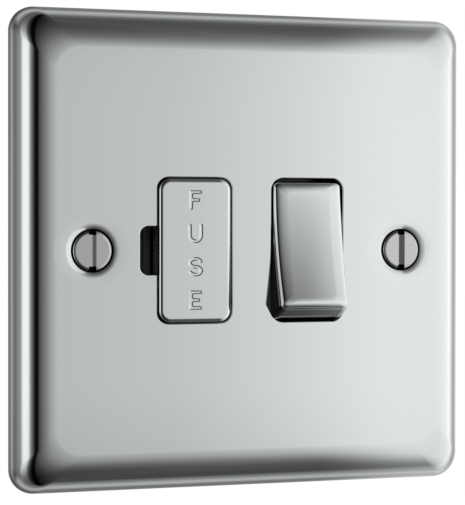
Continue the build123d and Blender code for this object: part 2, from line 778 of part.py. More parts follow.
# Moulded rocker cradle with trunnions and two plunger bores
with BuildPart() as rocker_cradle:
    with BuildSketch(rocker_side):
        with BuildLine():
            Polyline(
                (-cradle_end, cradle_top),
                (-cradle_end, cradle_top - cradle_roof),
                (-cradle_half, cradle_top - cradle_roof - cradle_haunch),
                (-cradle_half, holder_back),
                (cradle_half, holder_back),
                (cradle_half, cradle_top - cradle_roof - cradle_haunch),
                (cradle_end, cradle_top - cradle_roof),
                (cradle_end, cradle_top),
            )
            ThreePointArc((cradle_end, cradle_top), (0, cradle_top - rocker_dish), (-cradle_end, cradle_top))
        make_face()
    extrude(amount=rocker_w / 2 - rocker_wall - seat_gap, both=True)
    with BuildSketch(rocker_side):
        Circle(trunnion_r)
    extrude(amount=bay_w / 2 + cheek_wall - trunnion_gap, both=True)
    with BuildSketch(rocker_face.offset(holder_back)):
        with GridLocations(pole_gap, 0, 2, 1):
            Circle(plunger_r + bore_gap)
    extrude(amount=bore_top - holder_back, mode=Mode.SUBTRACT)

# Plungers and the springs behind them
with BuildPart() as plunger_line:
    with BuildSketch(rocker_face.offset(-plunger_tip)):
        with Locations((-pole_gap / 2, 0)):
            Circle(plunger_r)
    extrude(amount=plunger_tip + plunger_top)
    fillet(plunger_line.edges().filter_by(GeomType.CIRCLE).sort_by(Axis.Y)[-1], plunger_r - plunger_flat)

with BuildPart() as plunger_neutral:
    with BuildSketch(rocker_face.offset(-plunger_tip)):
        with Locations((pole_gap / 2, 0)):
            Circle(plunger_r)
    extrude(amount=plunger_tip + plunger_top)
    fillet(plunger_neutral.edges().filter_by(GeomType.CIRCLE).sort_by(Axis.Y)[-1], plunger_r - plunger_flat)

spring_run = bore_top - plunger_top - 4 * spring_wire_r
spring_seat = rocker_face.offset(plunger_top + 2 * spring_wire_r)
with BuildPart() as plunger_spring_line:
    with BuildLine():
        coil = Helix(
            spring_run / spring_turns,
            spring_run,
            spring_r,
            center=spring_seat.from_local_coords((-pole_gap / 2, 0, 0)),
            direction=spring_seat.z_dir,
        )
    with BuildSketch(Plane(coil @ 0, z_dir=coil % 0)):
        Circle(spring_wire_r)
    sweep(is_frenet=True)

with BuildPart() as plunger_spring_neutral:
    with BuildLine():
        coil = Helix(
            spring_run / spring_turns,
            spring_run,
            spring_r,
            center=spring_seat.from_local_coords((pole_gap / 2, 0, 0)),
            direction=spring_seat.z_dir,
        )
    with BuildSketch(Plane(coil @ 0, z_dir=coil % 0)):
        Circle(spring_wire_r)
    sweep(is_frenet=True)

# Seesaw contacts with their silver rivets, and the posts they rock on
with BuildPart() as contact_lever_line:
    seesaw(pole_line_x)

with BuildPart() as contact_lever_neutral:
    seesaw(pole_neutral_x)

with BuildPart() as lever_tip_line:
    seesaw_tip(pole_line_x)

with BuildPart() as lever_tip_neutral:
    seesaw_tip(pole_neutral_x)

with BuildPart() as fulcrum_line:
    fulcrum(pole_line_x)

with BuildPart() as fulcrum_neutral:
    fulcrum(pole_neutral_x)

# Fixed contacts: strip to the load neutral terminal, and the two silver rivets
with BuildPart() as neutral_contact_strip:
    block(about(pole_neutral_x, strip_w / 2), (strip_y, floor_y), (tip_z - strip_w / 2, term_in))

with BuildPart() as fixed_contact_tips:
    with BuildSketch(wall_plane(strip_y)):
        with Locations((pole_line_x, tip_z), (pole_neutral_x, tip_z)):
            Circle(tip_r)
    extrude(amount=tip_fixed_h)

# Pillar terminals: load and supply, each with line, neutral and earth
with BuildPart() as load_line_terminal:
    pillar_terminal(term_left_x, -1)

with BuildPart() as supply_line_terminal:
    pillar_terminal(term_mid_x, -1)

with BuildPart() as supply_neutral_terminal:
    pillar_terminal(term_right_x, -1)

with BuildPart() as load_earth_terminal:
    pillar_terminal(term_left_x, 1)

with BuildPart() as supply_earth_terminal:
    pillar_terminal(term_mid_x, 1)

with BuildPart() as load_neutral_terminal:
    pillar_terminal(term_right_x, 1)

# Clamp screws, backed out clear of the conductor bores
screw_spots = [(x, z) for x in (term_left_x, term_mid_x, term_right_x) for z in (-term_screw_z, term_screw_z)]
head_front_y = term_back_y + seat_gap
with BuildPart() as terminal_screws:
    with BuildSketch(wall_plane(head_front_y)):
        with Locations(*screw_spots):
            Circle(term_screw_r)
    extrude(amount=head_front_y - term_bore_y - term_bore_r - running)
    with BuildSketch(wall_plane(head_front_y + term_screw_head_h)):
        with Locations(*screw_spots):
            Circle(term_screw_head_r)
    extrude(amount=term_screw_head_h)
    with BuildSketch(wall_plane(head_front_y + term_screw_head_h)):
        with Locations(*screw_spots):
            Rectangle(2 * term_screw_head_r, term_screw_slot)
    extrude(amount=term_screw_slot, mode=Mode.SUBTRACT)

# Earth strap: joins both earth terminals and bonds the plate
with BuildPart() as earth_strap:
    block(
        (term_left_x - tail_w / 2, term_mid_x + tail_w / 2),
        (floor_y, floor_y + strap_w),
        (strap_z, term_in),
    )
    block(about(tail_x, tail_w / 2), (under_y, floor_y + strap_w), (strap_z, term_in))
    block(about(tail_x, tail_w / 2), (under_y, under_y + strip), (strap_z, term_in + foot_h))

pieces = {
    "front_plate": front_plate,
    "plate_studs": plate_studs,
    "plate_nuts": plate_nuts,
    "liner_frame": liner_frame,
    "rear_housing": rear_housing,
    "housing_screws": housing_screws,
    "fixing_screws": fixing_screws,
    "fuse_carrier_face": fuse_carrier_face,
    "fuse_carrier_body": fuse_carrier_body,
    "fuse_tube": fuse_tube,
    "fuse_cap_upper": fuse_cap_upper,
    "fuse_cap_lower": fuse_cap_lower,
    "supply_fuse_clip": supply_fuse_clip,
    "load_fuse_clip": load_fuse_clip,
    "rocker_cap": rocker_cap,
    "rocker_cradle": rocker_cradle,
    "plunger_line": plunger_line,
    "plunger_neutral": plunger_neutral,
    "plunger_spring_line": plunger_spring_line,
    "plunger_spring_neutral": plunger_spring_neutral,
    "contact_lever_line": contact_lever_line,
    "contact_lever_neutral": contact_lever_neutral,
    "lever_tip_line": lever_tip_line,
    "lever_tip_neutral": lever_tip_neutral,
    "fulcrum_line": fulcrum_line,
    "fulcrum_neutral": fulcrum_neutral,
    "neutral_contact_strip": neutral_contact_strip,
    "fixed_contact_tips": fixed_contact_tips,
    "load_line_terminal": load_line_terminal,
    "supply_line_terminal": supply_line_terminal,
    "supply_neutral_terminal": supply_neutral_terminal,
    "load_neutral_terminal": load_neutral_terminal,
    "supply_earth_terminal": supply_earth_terminal,
    "load_earth_terminal": load_earth_terminal,
    "terminal_screws": terminal_screws,
    "earth_strap": earth_strap,
}
os.makedirs("parts", exist_ok=True)
for label, piece in pieces.items():
    piece.part.label = label
    export_step(piece.part, f"parts/{label}.step")
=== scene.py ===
"""Looks of a switched fused connection unit in polished chrome, seen from the left.

Lengths are in millimetres until a mesh is written, which is in metres. Surfaces are drawn in a front
frame (x to the right, z up, f towards the room) and turned into the CAD frame, whose Y runs into the wall.
"""
import json
import logging
from collections.abc import Callable
from dataclasses import dataclass, field
from enum import Enum
from math import cos, pi, radians, sin, tan

import bmesh
import bpy
import numpy as np
from mathutils import Euler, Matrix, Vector
from mathutils.geometry import delaunay_2d_cdt


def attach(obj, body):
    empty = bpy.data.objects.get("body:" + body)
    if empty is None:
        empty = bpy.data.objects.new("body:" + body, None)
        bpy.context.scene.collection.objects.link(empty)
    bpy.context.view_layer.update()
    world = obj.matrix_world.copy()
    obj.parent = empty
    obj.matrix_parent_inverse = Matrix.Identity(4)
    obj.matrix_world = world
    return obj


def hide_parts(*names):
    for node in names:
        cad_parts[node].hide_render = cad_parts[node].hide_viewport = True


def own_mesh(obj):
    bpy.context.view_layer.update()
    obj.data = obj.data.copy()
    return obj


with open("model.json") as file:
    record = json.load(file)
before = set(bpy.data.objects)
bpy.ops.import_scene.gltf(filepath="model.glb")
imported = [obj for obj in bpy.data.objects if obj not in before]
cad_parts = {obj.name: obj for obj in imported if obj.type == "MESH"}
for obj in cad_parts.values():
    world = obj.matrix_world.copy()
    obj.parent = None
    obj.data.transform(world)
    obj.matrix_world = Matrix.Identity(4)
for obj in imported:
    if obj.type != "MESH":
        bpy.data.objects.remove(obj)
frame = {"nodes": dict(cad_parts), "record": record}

LOG = logging.getLogger("fused_spur")
MM = 0.001
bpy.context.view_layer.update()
# Points of a new skin closer than a step of this many to the metre are one, and CAD points within a micron
MERGE_STEPS = 1e7
MERGE_M = 1e-6
CREASE = radians(40)
BEVEL_MM = 0.12

PointMap = Callable[[np.ndarray], np.ndarray]
Socket = bpy.types.NodeSocket
Tree = bpy.types.NodeTree


class Turn(Enum):
    """How an outline grows as its profile moves out."""

    OFFSET = "parallel to itself, so corner radii change"
    SLIDE = "corner centres slide, so corner radii stay"


@dataclass(frozen=True)
class Outline:
    """Closed loop in the x-z plane with its outward normals and its growth for each millimetre."""

    points: np.ndarray
    normals: np.ndarray
    growth: np.ndarray

    @classmethod
    def polygon(
        cls, corners: list | np.ndarray, radii: list, steps: int = 12,
        turn: Turn = Turn.OFFSET, split: int = 0,
    ) -> "Outline":
        """Rounds each corner of a polygon with an arc.

        The arc of radius r starts r tan(a / 2) before a corner that turns by a. Its normals turn evenly
        from the first edge's to the second's, and the loop is counterclockwise.

        Args:
            corners: polygon corners as (x, z).
            radii: one arc radius for each corner.
            steps: points along each arc, less one.
            turn: how the loop grows.
            split: points along each straight edge.

        Returns:
            The rounded loop.
        """
        spots = np.asarray(corners, float)
        ahead = np.roll(spots, -1, axis=0) - spots
        ahead /= np.linalg.norm(ahead, axis=1, keepdims=True)
        behind = np.roll(ahead, 1, axis=0)
        bend = np.arctan2(
            behind[:, 0] * ahead[:, 1] - behind[:, 1] * ahead[:, 0],
            np.sum(behind * ahead, axis=1),
        )
        first = np.stack((behind[:, 1], -behind[:, 0]), axis=1)
        second = np.stack((ahead[:, 1], -ahead[:, 0]), axis=1)
        mitre = (first + second) / (1 + np.sum(first * second, axis=1, keepdims=True))
        sign = np.sign(bend)
        centre = spots - mitre * (np.asarray(radii, float) * sign)[:, None]
        angle = np.arctan2(first[:, 1], first[:, 0])[:, None] + bend[:, None] * np.linspace(0, 1, steps + 1)
        normals = np.stack((np.cos(angle), np.sin(angle)), axis=2)
        points = centre[:, None, :] + normals * (np.asarray(radii, float) * sign)[:, None, None]
        growth = normals if turn is Turn.OFFSET else np.broadcast_to(mitre[:, None, :], normals.shape)
        share = np.linspace(0, 1, split + 2)[None, :-1, None]
        runs = []
        for row in (points, normals, growth):
            last, after = row[:, -1:], np.roll(row[:, :1], -1, axis=0)
            runs.append(np.concatenate((row, (last + share * (after - last))[:, 1:]), axis=1))
        return cls(*[row.reshape(-1, 2) for row in runs])

    @classmethod
    def rectangle(
        cls, x: float, width: float, height: float, radius: float, steps: int = 12,
        turn: Turn = Turn.OFFSET, split: int = 0,
    ) -> "Outline":
        """Rounded rectangle centred on (x, 0)."""
        corners = np.array([(-1, -1), (1, -1), (1, 1), (-1, 1)]) * (width / 2, height / 2) + (x, 0.0)
        return cls.polygon(corners, [radius] * 4, steps, turn, split)

    @classmethod
    def ribbon(cls, line: np.ndarray, half: float, steps: int = 8) -> "Outline":
        """Outline of a stroke of even width with round ends.

        Args:
            line: points along the stroke's middle.
            half: half its width.
            steps: points round each end.

        Returns:
            The loop round the stroke.
        """
        step = np.diff(line, axis=0)
        step /= np.linalg.norm(step, axis=1, keepdims=True)
        along = np.concatenate((step[:1], step[:-1] + step[1:], step[-1:]))
        along /= np.linalg.norm(along, axis=1, keepdims=True)
        side = np.stack((along[:, 1], -along[:, 0]), axis=1)
        a = np.linspace(0, pi, steps + 1)[1:-1, None]
        last = side[-1] * np.cos(a) + along[-1] * np.sin(a)
        first = -side[0] * np.cos(a) - along[0] * np.sin(a)
        normals = np.concatenate((side, last, -side[::-1], first))
        tail, head = np.repeat(line[-1:], steps - 1, axis=0), np.repeat(line[:1], steps - 1, axis=0)
        spine = np.concatenate((line, tail, line[::-1], head))
        return cls(spine + half * normals, normals, normals)

    def part(self, first: int, count: int) -> "Outline":
        """An open run of the loop's points."""
        rows = np.arange(first, first + count) % len(self.points)
        return Outline(self.points[rows], self.normals[rows], self.growth[rows])

    def moved(self, x: float, z: float) -> "Outline":
        """The loop moved in its plane."""
        return Outline(self.points + np.array([x, z]), self.normals, self.growth)

    @classmethod
    def circle(cls, x: float, radius: float, steps: int = 72) -> "Outline":
        """Circle centred on (x, 0).

        Args:
            x: middle.
            radius: its radius.
            steps: points round it.

        Returns:
            The loop.
        """
        angle = np.linspace(0, 2 * pi, steps, endpoint=False)
        normals = np.stack((np.cos(angle), np.sin(angle)), axis=1)
        return cls(np.array([x, 0.0]) + radius * normals, normals, normals)

    def inward(self) -> "Outline":
        """The same loop as the rim of a hole: it grows into the hole, and faces into it."""
        return Outline(self.points, -self.normals, -self.growth)

    def grown(self, distance: float) -> "Outline":
        """The loop moved out by a distance."""
        return Outline(self.points + distance * self.growth, self.normals, self.growth)


@dataclass(frozen=True)
class Profile:
    """Section of a swept skin: how far out and how far forward, with its direction at each point."""

    out: np.ndarray
    front: np.ndarray
    d_out: np.ndarray
    d_front: np.ndarray

    @classmethod
    def ellipse(
        cls, out: float, front: float, run: float, rise: float, start: float = 0, stop: float = 90,
        steps: int = 16, power: float = 2.0,
    ) -> "Profile":
        """Arc of |x / run|^p + |y / rise|^p = 1, from the front at 0 degrees to the side at 90.

        With e = 2 / p, x is run sin(a)^e and y is rise cos(a)^e.

        Args:
            out, front: middle of the arc.
            run, rise: its half axes.
            start, stop: its first and last angle in degrees.
            steps: points along it, less one.
            power: p, which is 2 for a plain ellipse.

        Returns:
            The arc.
        """
        a, e = np.radians(np.linspace(start, stop, steps + 1)), 2 / power
        sine, cosine = np.sin(a), np.maximum(np.cos(a), 0)
        return cls(
            out + run * sine**e, front + rise * cosine**e, run * cosine ** (2 - e), -rise * sine ** (2 - e)
        )

    @classmethod
    def bends(cls, front: float, turns: tuple, steps: int = 12) -> list:
        """Arcs of a sheet that bends down from the front, each from where the last one ends.

        A bend of radius r that turns from a to b runs r (sin b - sin a) out and falls r (cos a - cos b).

        Args:
            front: height of the start.
            turns: radius of each bend, and its slope at the end in degrees.
            steps: points along each bend, less one.

        Returns:
            One section for each bend.
        """
        parts, out, a = [], 0.0, 0.0
        for r, b in turns:
            out, front = out - r * sin(radians(a)), front - r * cos(radians(a))
            parts.append(cls.ellipse(out, front, r, r, a, b, steps))
            out, front, a = out + r * sin(radians(b)), front + r * cos(radians(b)), b
        return parts

    @classmethod
    def groove(cls, front: float, width: float, depth: float, steps: int = 12) -> "Profile":
        """Soft wall of a groove: width s inwards and depth (1 - cos(pi s)) / 2 down, for s from 0 to 1.

        Args:
            front: height of its brink.
            width, depth: size of the wall.
            steps: points along it, less one.

        Returns:
            The wall's section.
        """
        s = np.linspace(0, 1, steps + 1)
        fall = depth * (1 - np.cos(pi * s)) / 2
        return cls(width * s, front - fall, width * np.ones_like(s), -depth * pi / 2 * np.sin(pi * s))

    @classmethod
    def line(cls, first: tuple, last: tuple, steps: int = 1) -> "Profile":
        """Straight run between two points.

        Args:
            first, last: its ends as (out, front).
            steps: points along it, less one.

        Returns:
            The run.
        """
        s = np.linspace(0, 1, steps + 1)
        d_out, d_front = last[0] - first[0], last[1] - first[1]
        one = np.ones_like(s)
        return cls(first[0] + s * d_out, first[1] + s * d_front, d_out * one, d_front * one)


def new_object(name: str, data: bpy.types.ID) -> bpy.types.Object:
    """Makes an object for a mesh, lamp or camera, and links it to the scene.

    Args:
        name: its name.
        data: what it shows.

    Returns:
        The object.
    """
    obj = bpy.data.objects.new(name, data)
    bpy.context.scene.collection.objects.link(obj)
    return obj


@dataclass
class Skin:
    """Collects grids of points with exact normals, and writes them as one mesh."""

    points: list = field(default_factory=list)
    normals: list = field(default_factory=list)
    faces: list = field(default_factory=list)
    count: int = 0

    def add(self, points: np.ndarray, normals: np.ndarray, faces: np.ndarray) -> None:
        """Adds faces, with their winding turned to agree with the normals.

        Args:
            points: array of n by 3.
            normals: the points' normals, of any length.
            faces: three or four point numbers for each face.
        """
        loose = points[faces]
        winding = np.cross(loose[:, 1] - loose[:, 0], loose[:, 2] - loose[:, 0])
        if faces.shape[1] == 4:
            winding = winding + np.cross(loose[:, 2] - loose[:, 0], loose[:, 3] - loose[:, 0])
        wrong = np.sum(winding * normals[faces].mean(axis=1), axis=1) < 0
        faces = np.where(wrong[:, None], faces[:, ::-1], faces)
        self.points.append(points)
        self.normals.append(normals / np.linalg.norm(normals, axis=1, keepdims=True))
        self.faces.extend((faces + self.count).tolist())
        self.count += len(points)

    def grid(self, points: np.ndarray, normals: np.ndarray, closed: bool) -> None:
        """Adds a grid of rows by columns, whose columns may close on themselves.

        Args:
            points: array of rows by columns by 3.
            normals: array of the same shape.
            closed: whether the last column joins the first.
        """
        rows, columns = points.shape[:2]
        index = np.arange(rows * columns).reshape(rows, columns)
        right = np.roll(index, -1, axis=1) if closed else index[:, 1:]
        left = index if closed else index[:, :-1]
        quads = np.stack((left[:-1], right[:-1], right[1:], left[1:]), axis=2).reshape(-1, 4)
        self.add(points.reshape(-1, 3), normals.reshape(-1, 3), quads)

    def sweep(self, outline: Outline, profile: Profile, closed: bool = True) -> None:
        """Carries a profile round an outline.

        A point is the outline's plus its growth g times out, at the height front. With n the outline's
        normal, the skin's normal is n times -d_front, and (g . n) d_out along the front.

        Args:
            outline: loop that the profile goes round.
            profile: section to carry.
            closed: whether the outline is a whole loop.
        """
        flat = outline.points[None] + profile.out[:, None, None] * outline.growth[None]
        height = np.broadcast_to(profile.front[:, None], flat.shape[:2])
        points = np.dstack((flat[..., 0], flat[..., 1], height))
        reach = np.sum(outline.growth * outline.normals, axis=1)
        side = -profile.d_front[:, None, None] * outline.normals[None]
        normals = np.dstack((side[..., 0], side[..., 1], profile.d_out[:, None] * reach[None]))
        self.grid(points, normals, closed)

    def flat(self, front: float, facing: float, edge: np.ndarray, holes: list) -> None:
        """Fills a flat between an outer loop and its holes with constrained triangles.

        A triangle is kept if a line from its middle to the right crosses the loops an odd number of times.

        Args:
            front: height of the flat.
            facing: 1 towards the room, -1 towards the wall.
            edge: outer loop of (x, z) points.
            holes: inner loops of (x, z) points.
        """
        loops = [edge, *holes]
        first = np.concatenate(loops)
        last = np.concatenate([np.roll(loop, -1, axis=0) for loop in loops])
        sizes = np.array([len(loop) for loop in loops])
        starts = np.repeat(np.cumsum(sizes) - sizes, sizes)
        index = np.arange(len(first))
        after = starts + (index - starts + 1) % np.repeat(sizes, sizes)
        ties = np.column_stack((index, after)).tolist()
        filled = delaunay_2d_cdt([Vector(spot) for spot in first.tolist()], ties, [], 0, 1e-7)
        plan = np.array([tuple(spot) for spot in filled[0]])
        faces = np.array(filled[2])
        middle = plan[faces].mean(axis=1)[:, None, :]
        spans = (first[None, :, 1] > middle[..., 1]) != (last[None, :, 1] > middle[..., 1])
        rise = np.where(last[:, 1] == first[:, 1], 1.0, last[:, 1] - first[:, 1])[None]
        meets = first[None, :, 0] + (middle[..., 1] - first[None, :, 1]) / rise * (last - first)[None, :, 0]
        crossed = np.sum(spans & (middle[..., 0] < meets), axis=1)
        points = np.column_stack((plan, np.full(len(plan), front)))
        normals = np.tile((0.0, 0.0, facing), (len(plan), 1))
        self.add(points, normals, faces[crossed % 2 == 1])

    def bend(self, move: PointMap, slope: PointMap) -> None:
        """Moves every point by a smooth map, and turns the normals by its inverse transpose.

        Args:
            move: map from points to points, both arrays of n by 3.
            slope: the map's n by 3 by 3 derivatives at the points.
        """
        for k, (points, normals) in enumerate(zip(self.points, self.normals)):
            turned = np.einsum("nji,nj->ni", np.linalg.inv(slope(points)), normals)
            self.points[k] = move(points)
            self.normals[k] = turned / np.linalg.norm(turned, axis=1, keepdims=True)

    def write(self, name: str, axes: np.ndarray, origin: tuple) -> bpy.types.Object:
        """Writes the skin as an object, with doubled points merged and every corner's normal kept.

        Args:
            name: piece name.
            axes: rows are the CAD directions of x, z and f.
            origin: CAD place of the front frame's zero, in millimetres.

        Returns:
            The new object, at the origin.
        """
        points = (np.concatenate(self.points) @ axes + np.asarray(origin, float)) * MM
        normals = np.concatenate(self.normals) @ axes
        spots = np.round(points * MERGE_STEPS).astype(np.int64)
        key, which = np.unique(spots, axis=0, return_inverse=True)
        merged = np.zeros((len(key), 3))
        merged[which.ravel()] = points
        corners = [np.array(f) for f in self.faces]
        kept = [(which.ravel()[f], f) for f in corners]
        kept = [(m, f) for m, f in kept if len(np.unique(m)) == len(m)]
        handed = np.linalg.det(axes) > 0
        order = slice(None) if handed else slice(None, None, -1)
        mesh = bpy.data.meshes.new(name)
        mesh.from_pydata(merged.tolist(), [], [m[order].tolist() for m, _ in kept])
        mesh.polygons.foreach_set("use_smooth", np.ones(len(mesh.polygons), bool))
        mesh.update()
        mesh.normals_split_custom_set(np.concatenate([normals[f[order]] for _, f in kept]).tolist())
        return new_object(name, mesh)


WALL_AXES = np.array([(1.0, 0.0, 0.0), (0.0, 0.0, 1.0), (0.0, -1.0, 0.0)])


def linear(hex_code: str) -> tuple:
    """Turns an sRGB hex colour into linear RGBA.

    Args:
        hex_code: six hex digits, with or without a hash.

    Returns:
        Linear red, green, blue and an alpha of 1.
    """
    raw = np.array([int(hex_code.lstrip("#")[k : k + 2], 16) for k in (0, 2, 4)]) / 255.0
    low = raw <= 0.04045
    value = np.where(low, raw / 12.92, ((raw + 0.055) / 1.055) ** 2.4)
    return (*value.tolist(), 1.0)


def add_node(tree: Tree, kind: str, settings: dict, inputs: dict) -> bpy.types.Node:
    """Adds a node, sets its properties, and sets or links its inputs.

    Args:
        tree: node tree.
        kind: node type, without the words that every shader node's type starts with.
        settings: property values.
        inputs: socket name or index to a value or an output socket.

    Returns:
        The node.
    """
    node = tree.nodes.new(f"ShaderNode{kind}")
    for name, value in settings.items():
        setattr(node, name, value)
    for name, value in inputs.items():
        if isinstance(value, Socket):
            tree.links.new(value, node.inputs[name])
        else:
            node.inputs[name].default_value = value
    return node


# Values that the noise of a grain seldom leaves
NOISE_SPAN = (0.3, 0.7)


@dataclass(frozen=True)
class Finish:
    """One surface finish: what it is made of, and the marks that its making leaves."""

    name: str
    tone: str
    metallic: float
    roughness: float
    haze: float
    grain_mm: float
    grain_depth_mm: float
    stretch: tuple = (1.0, 1.0, 1.0)
    ior: float = 1.5

    def make(self) -> bpy.types.Material:
        """Builds the material: a grain in Object coordinates moves the roughness and raises a fine bump.

        Returns:
            The material.
        """
        material = bpy.data.materials.new(self.name)
        material.use_nodes = True
        tree = material.node_tree
        tree.nodes.clear()
        place = add_node(tree, "TexCoord", {}, {})
        scale = tuple(s / (self.grain_mm * MM) for s in self.stretch)
        mapped = add_node(tree, "Mapping", {}, {"Vector": place.outputs["Object"], "Scale": scale})
        cloud = {"Vector": mapped.outputs["Vector"], "Scale": 1.0, "Detail": 4.0, "Roughness": 0.6}
        grain = add_node(tree, "TexNoise", {}, cloud).outputs["Fac"]
        span = {"Value": grain, "From Min": NOISE_SPAN[0], "From Max": NOISE_SPAN[1]}
        span |= {"To Min": self.roughness - self.haze, "To Max": self.roughness + self.haze}
        rough = add_node(tree, "MapRange", {}, span)
        relief = {"Height": grain, "Strength": 1.0, "Distance": self.grain_depth_mm * MM}
        bump = add_node(tree, "Bump", {}, relief)
        surface = {"Base Color": linear(self.tone), "Metallic": self.metallic, "IOR": self.ior}
        surface |= {"Roughness": rough.outputs["Result"], "Normal": bump.outputs["Normal"]}
        shader = add_node(tree, "BsdfPrincipled", {}, surface)
        add_node(tree, "OutputMaterial", {}, {"Surface": shader.outputs["BSDF"]})
        return material

    def dress(self, obj: bpy.types.Object) -> None:
        """Gives an object this finish, whose material is made once."""
        obj.data.materials.clear()
        obj.data.materials.append(bpy.data.materials.get(self.name) or self.make())


# Chromium plate over polished steel: a mirror with a faint cool cast; the haze is the last of the buffing
CHROME = Finish("polished_chrome_plate", "#E6E9EA", 1.0, 0.035, 0.012, 2.5, 0.00002)
# Same plating on the small castings, a touch softer at the edges
CHROME_TRIM = Finish("polished_chrome_casting", "#E6E9EA", 1.0, 0.035, 0.012, 1.5, 0.00002)
# Painted shade: the walls, seat and hole inside each screw dimple are a dark dull steel that stands in for
# the shade in that hollow
THROAT_SHADE = Finish("throat_painted_shade", "#2A2C2E", 1.0, 0.45, 0.08, 0.8, 0.002)
# Plated screw heads keep faint turning marks
CHROME_SCREW = Finish("turned_chrome_screw", "#C6C8C8", 1.0, 0.10, 0.03, 0.6, 0.0004)
# Bright zinc on studs, nuts and small screws: dull sheen, slightly mottled
ZINC = Finish("bright_zinc_steel", "#C9CBC8", 1.0, 0.32, 0.08, 0.8, 0.004)
# Glass-filled moulding: near black with a fine satin skin
BLACK = Finish("black_moulded_nylon", "#2C2F31", 0.0, 0.28, 0.06, 0.35, 0.003)
# Sides of the rocker are left bare: dull black, which hardly shines
BARE = Finish("bare_black_nylon", "#0C0D0E", 0.0, 0.5, 0.06, 0.35, 0.002, ior=1.2)
# Painted shade: the rocker's ends are a darker chrome that stands in for the shade falling on them
ENDS_SHADE = Finish("rocker_ends_painted_shade", "#9A9C9D", 1.0, 0.05, 0.012, 1.5, 0.00002)
# Urea moulding of the housing: black, a little glossier than the frame
HOUSING = Finish("black_urea_moulding", "#17181A", 0.0, 0.36, 0.08, 0.5, 0.005)
# Glazed steatite barrel of the fuse link
CERAMIC = Finish("glazed_ceramic", "#E4DFD0", 0.0, 0.25, 0.06, 0.7, 0.003)
# Nickel on the fuse's end caps
NICKEL = Finish("nickel_plated_brass", "#CFCBC2", 1.0, 0.2, 0.05, 0.8, 0.002)
# Rolled brass: warm, with streaks along the strip
BRASS = Finish("rolled_brass", "#D8B56A", 1.0, 0.28, 0.08, 0.5, 0.003, (1.0, 1.0, 0.15))
COPPER = Finish("rolled_copper", "#D99A72", 1.0, 0.3, 0.08, 0.5, 0.003, (1.0, 1.0, 0.15))
SILVER = Finish("silver_alloy_contact", "#E2E1DE", 1.0, 0.24, 0.06, 0.4, 0.002)
SPRING = Finish("drawn_spring_steel", "#A9AAAC", 1.0, 0.3, 0.06, 0.4, 0.002)
NYLON = Finish("natural_nylon", "#E3DFD2", 0.0, 0.45, 0.08, 0.4, 0.004)

SLOT_FINISH = {
    "chrome_plate": CHROME,
    "chrome_trim": CHROME_TRIM,
    "chrome_screw": CHROME_SCREW,
    "zinc_steel": ZINC,
    "black_moulding": BLACK,
    "housing_moulding": HOUSING,
    "ceramic": CERAMIC,
    "nickel": NICKEL,
    "brass": BRASS,
    "copper": COPPER,
    "silver": SILVER,
    "spring_steel": SPRING,
    "nylon": NYLON,
    "plated_screw": NICKEL,
}


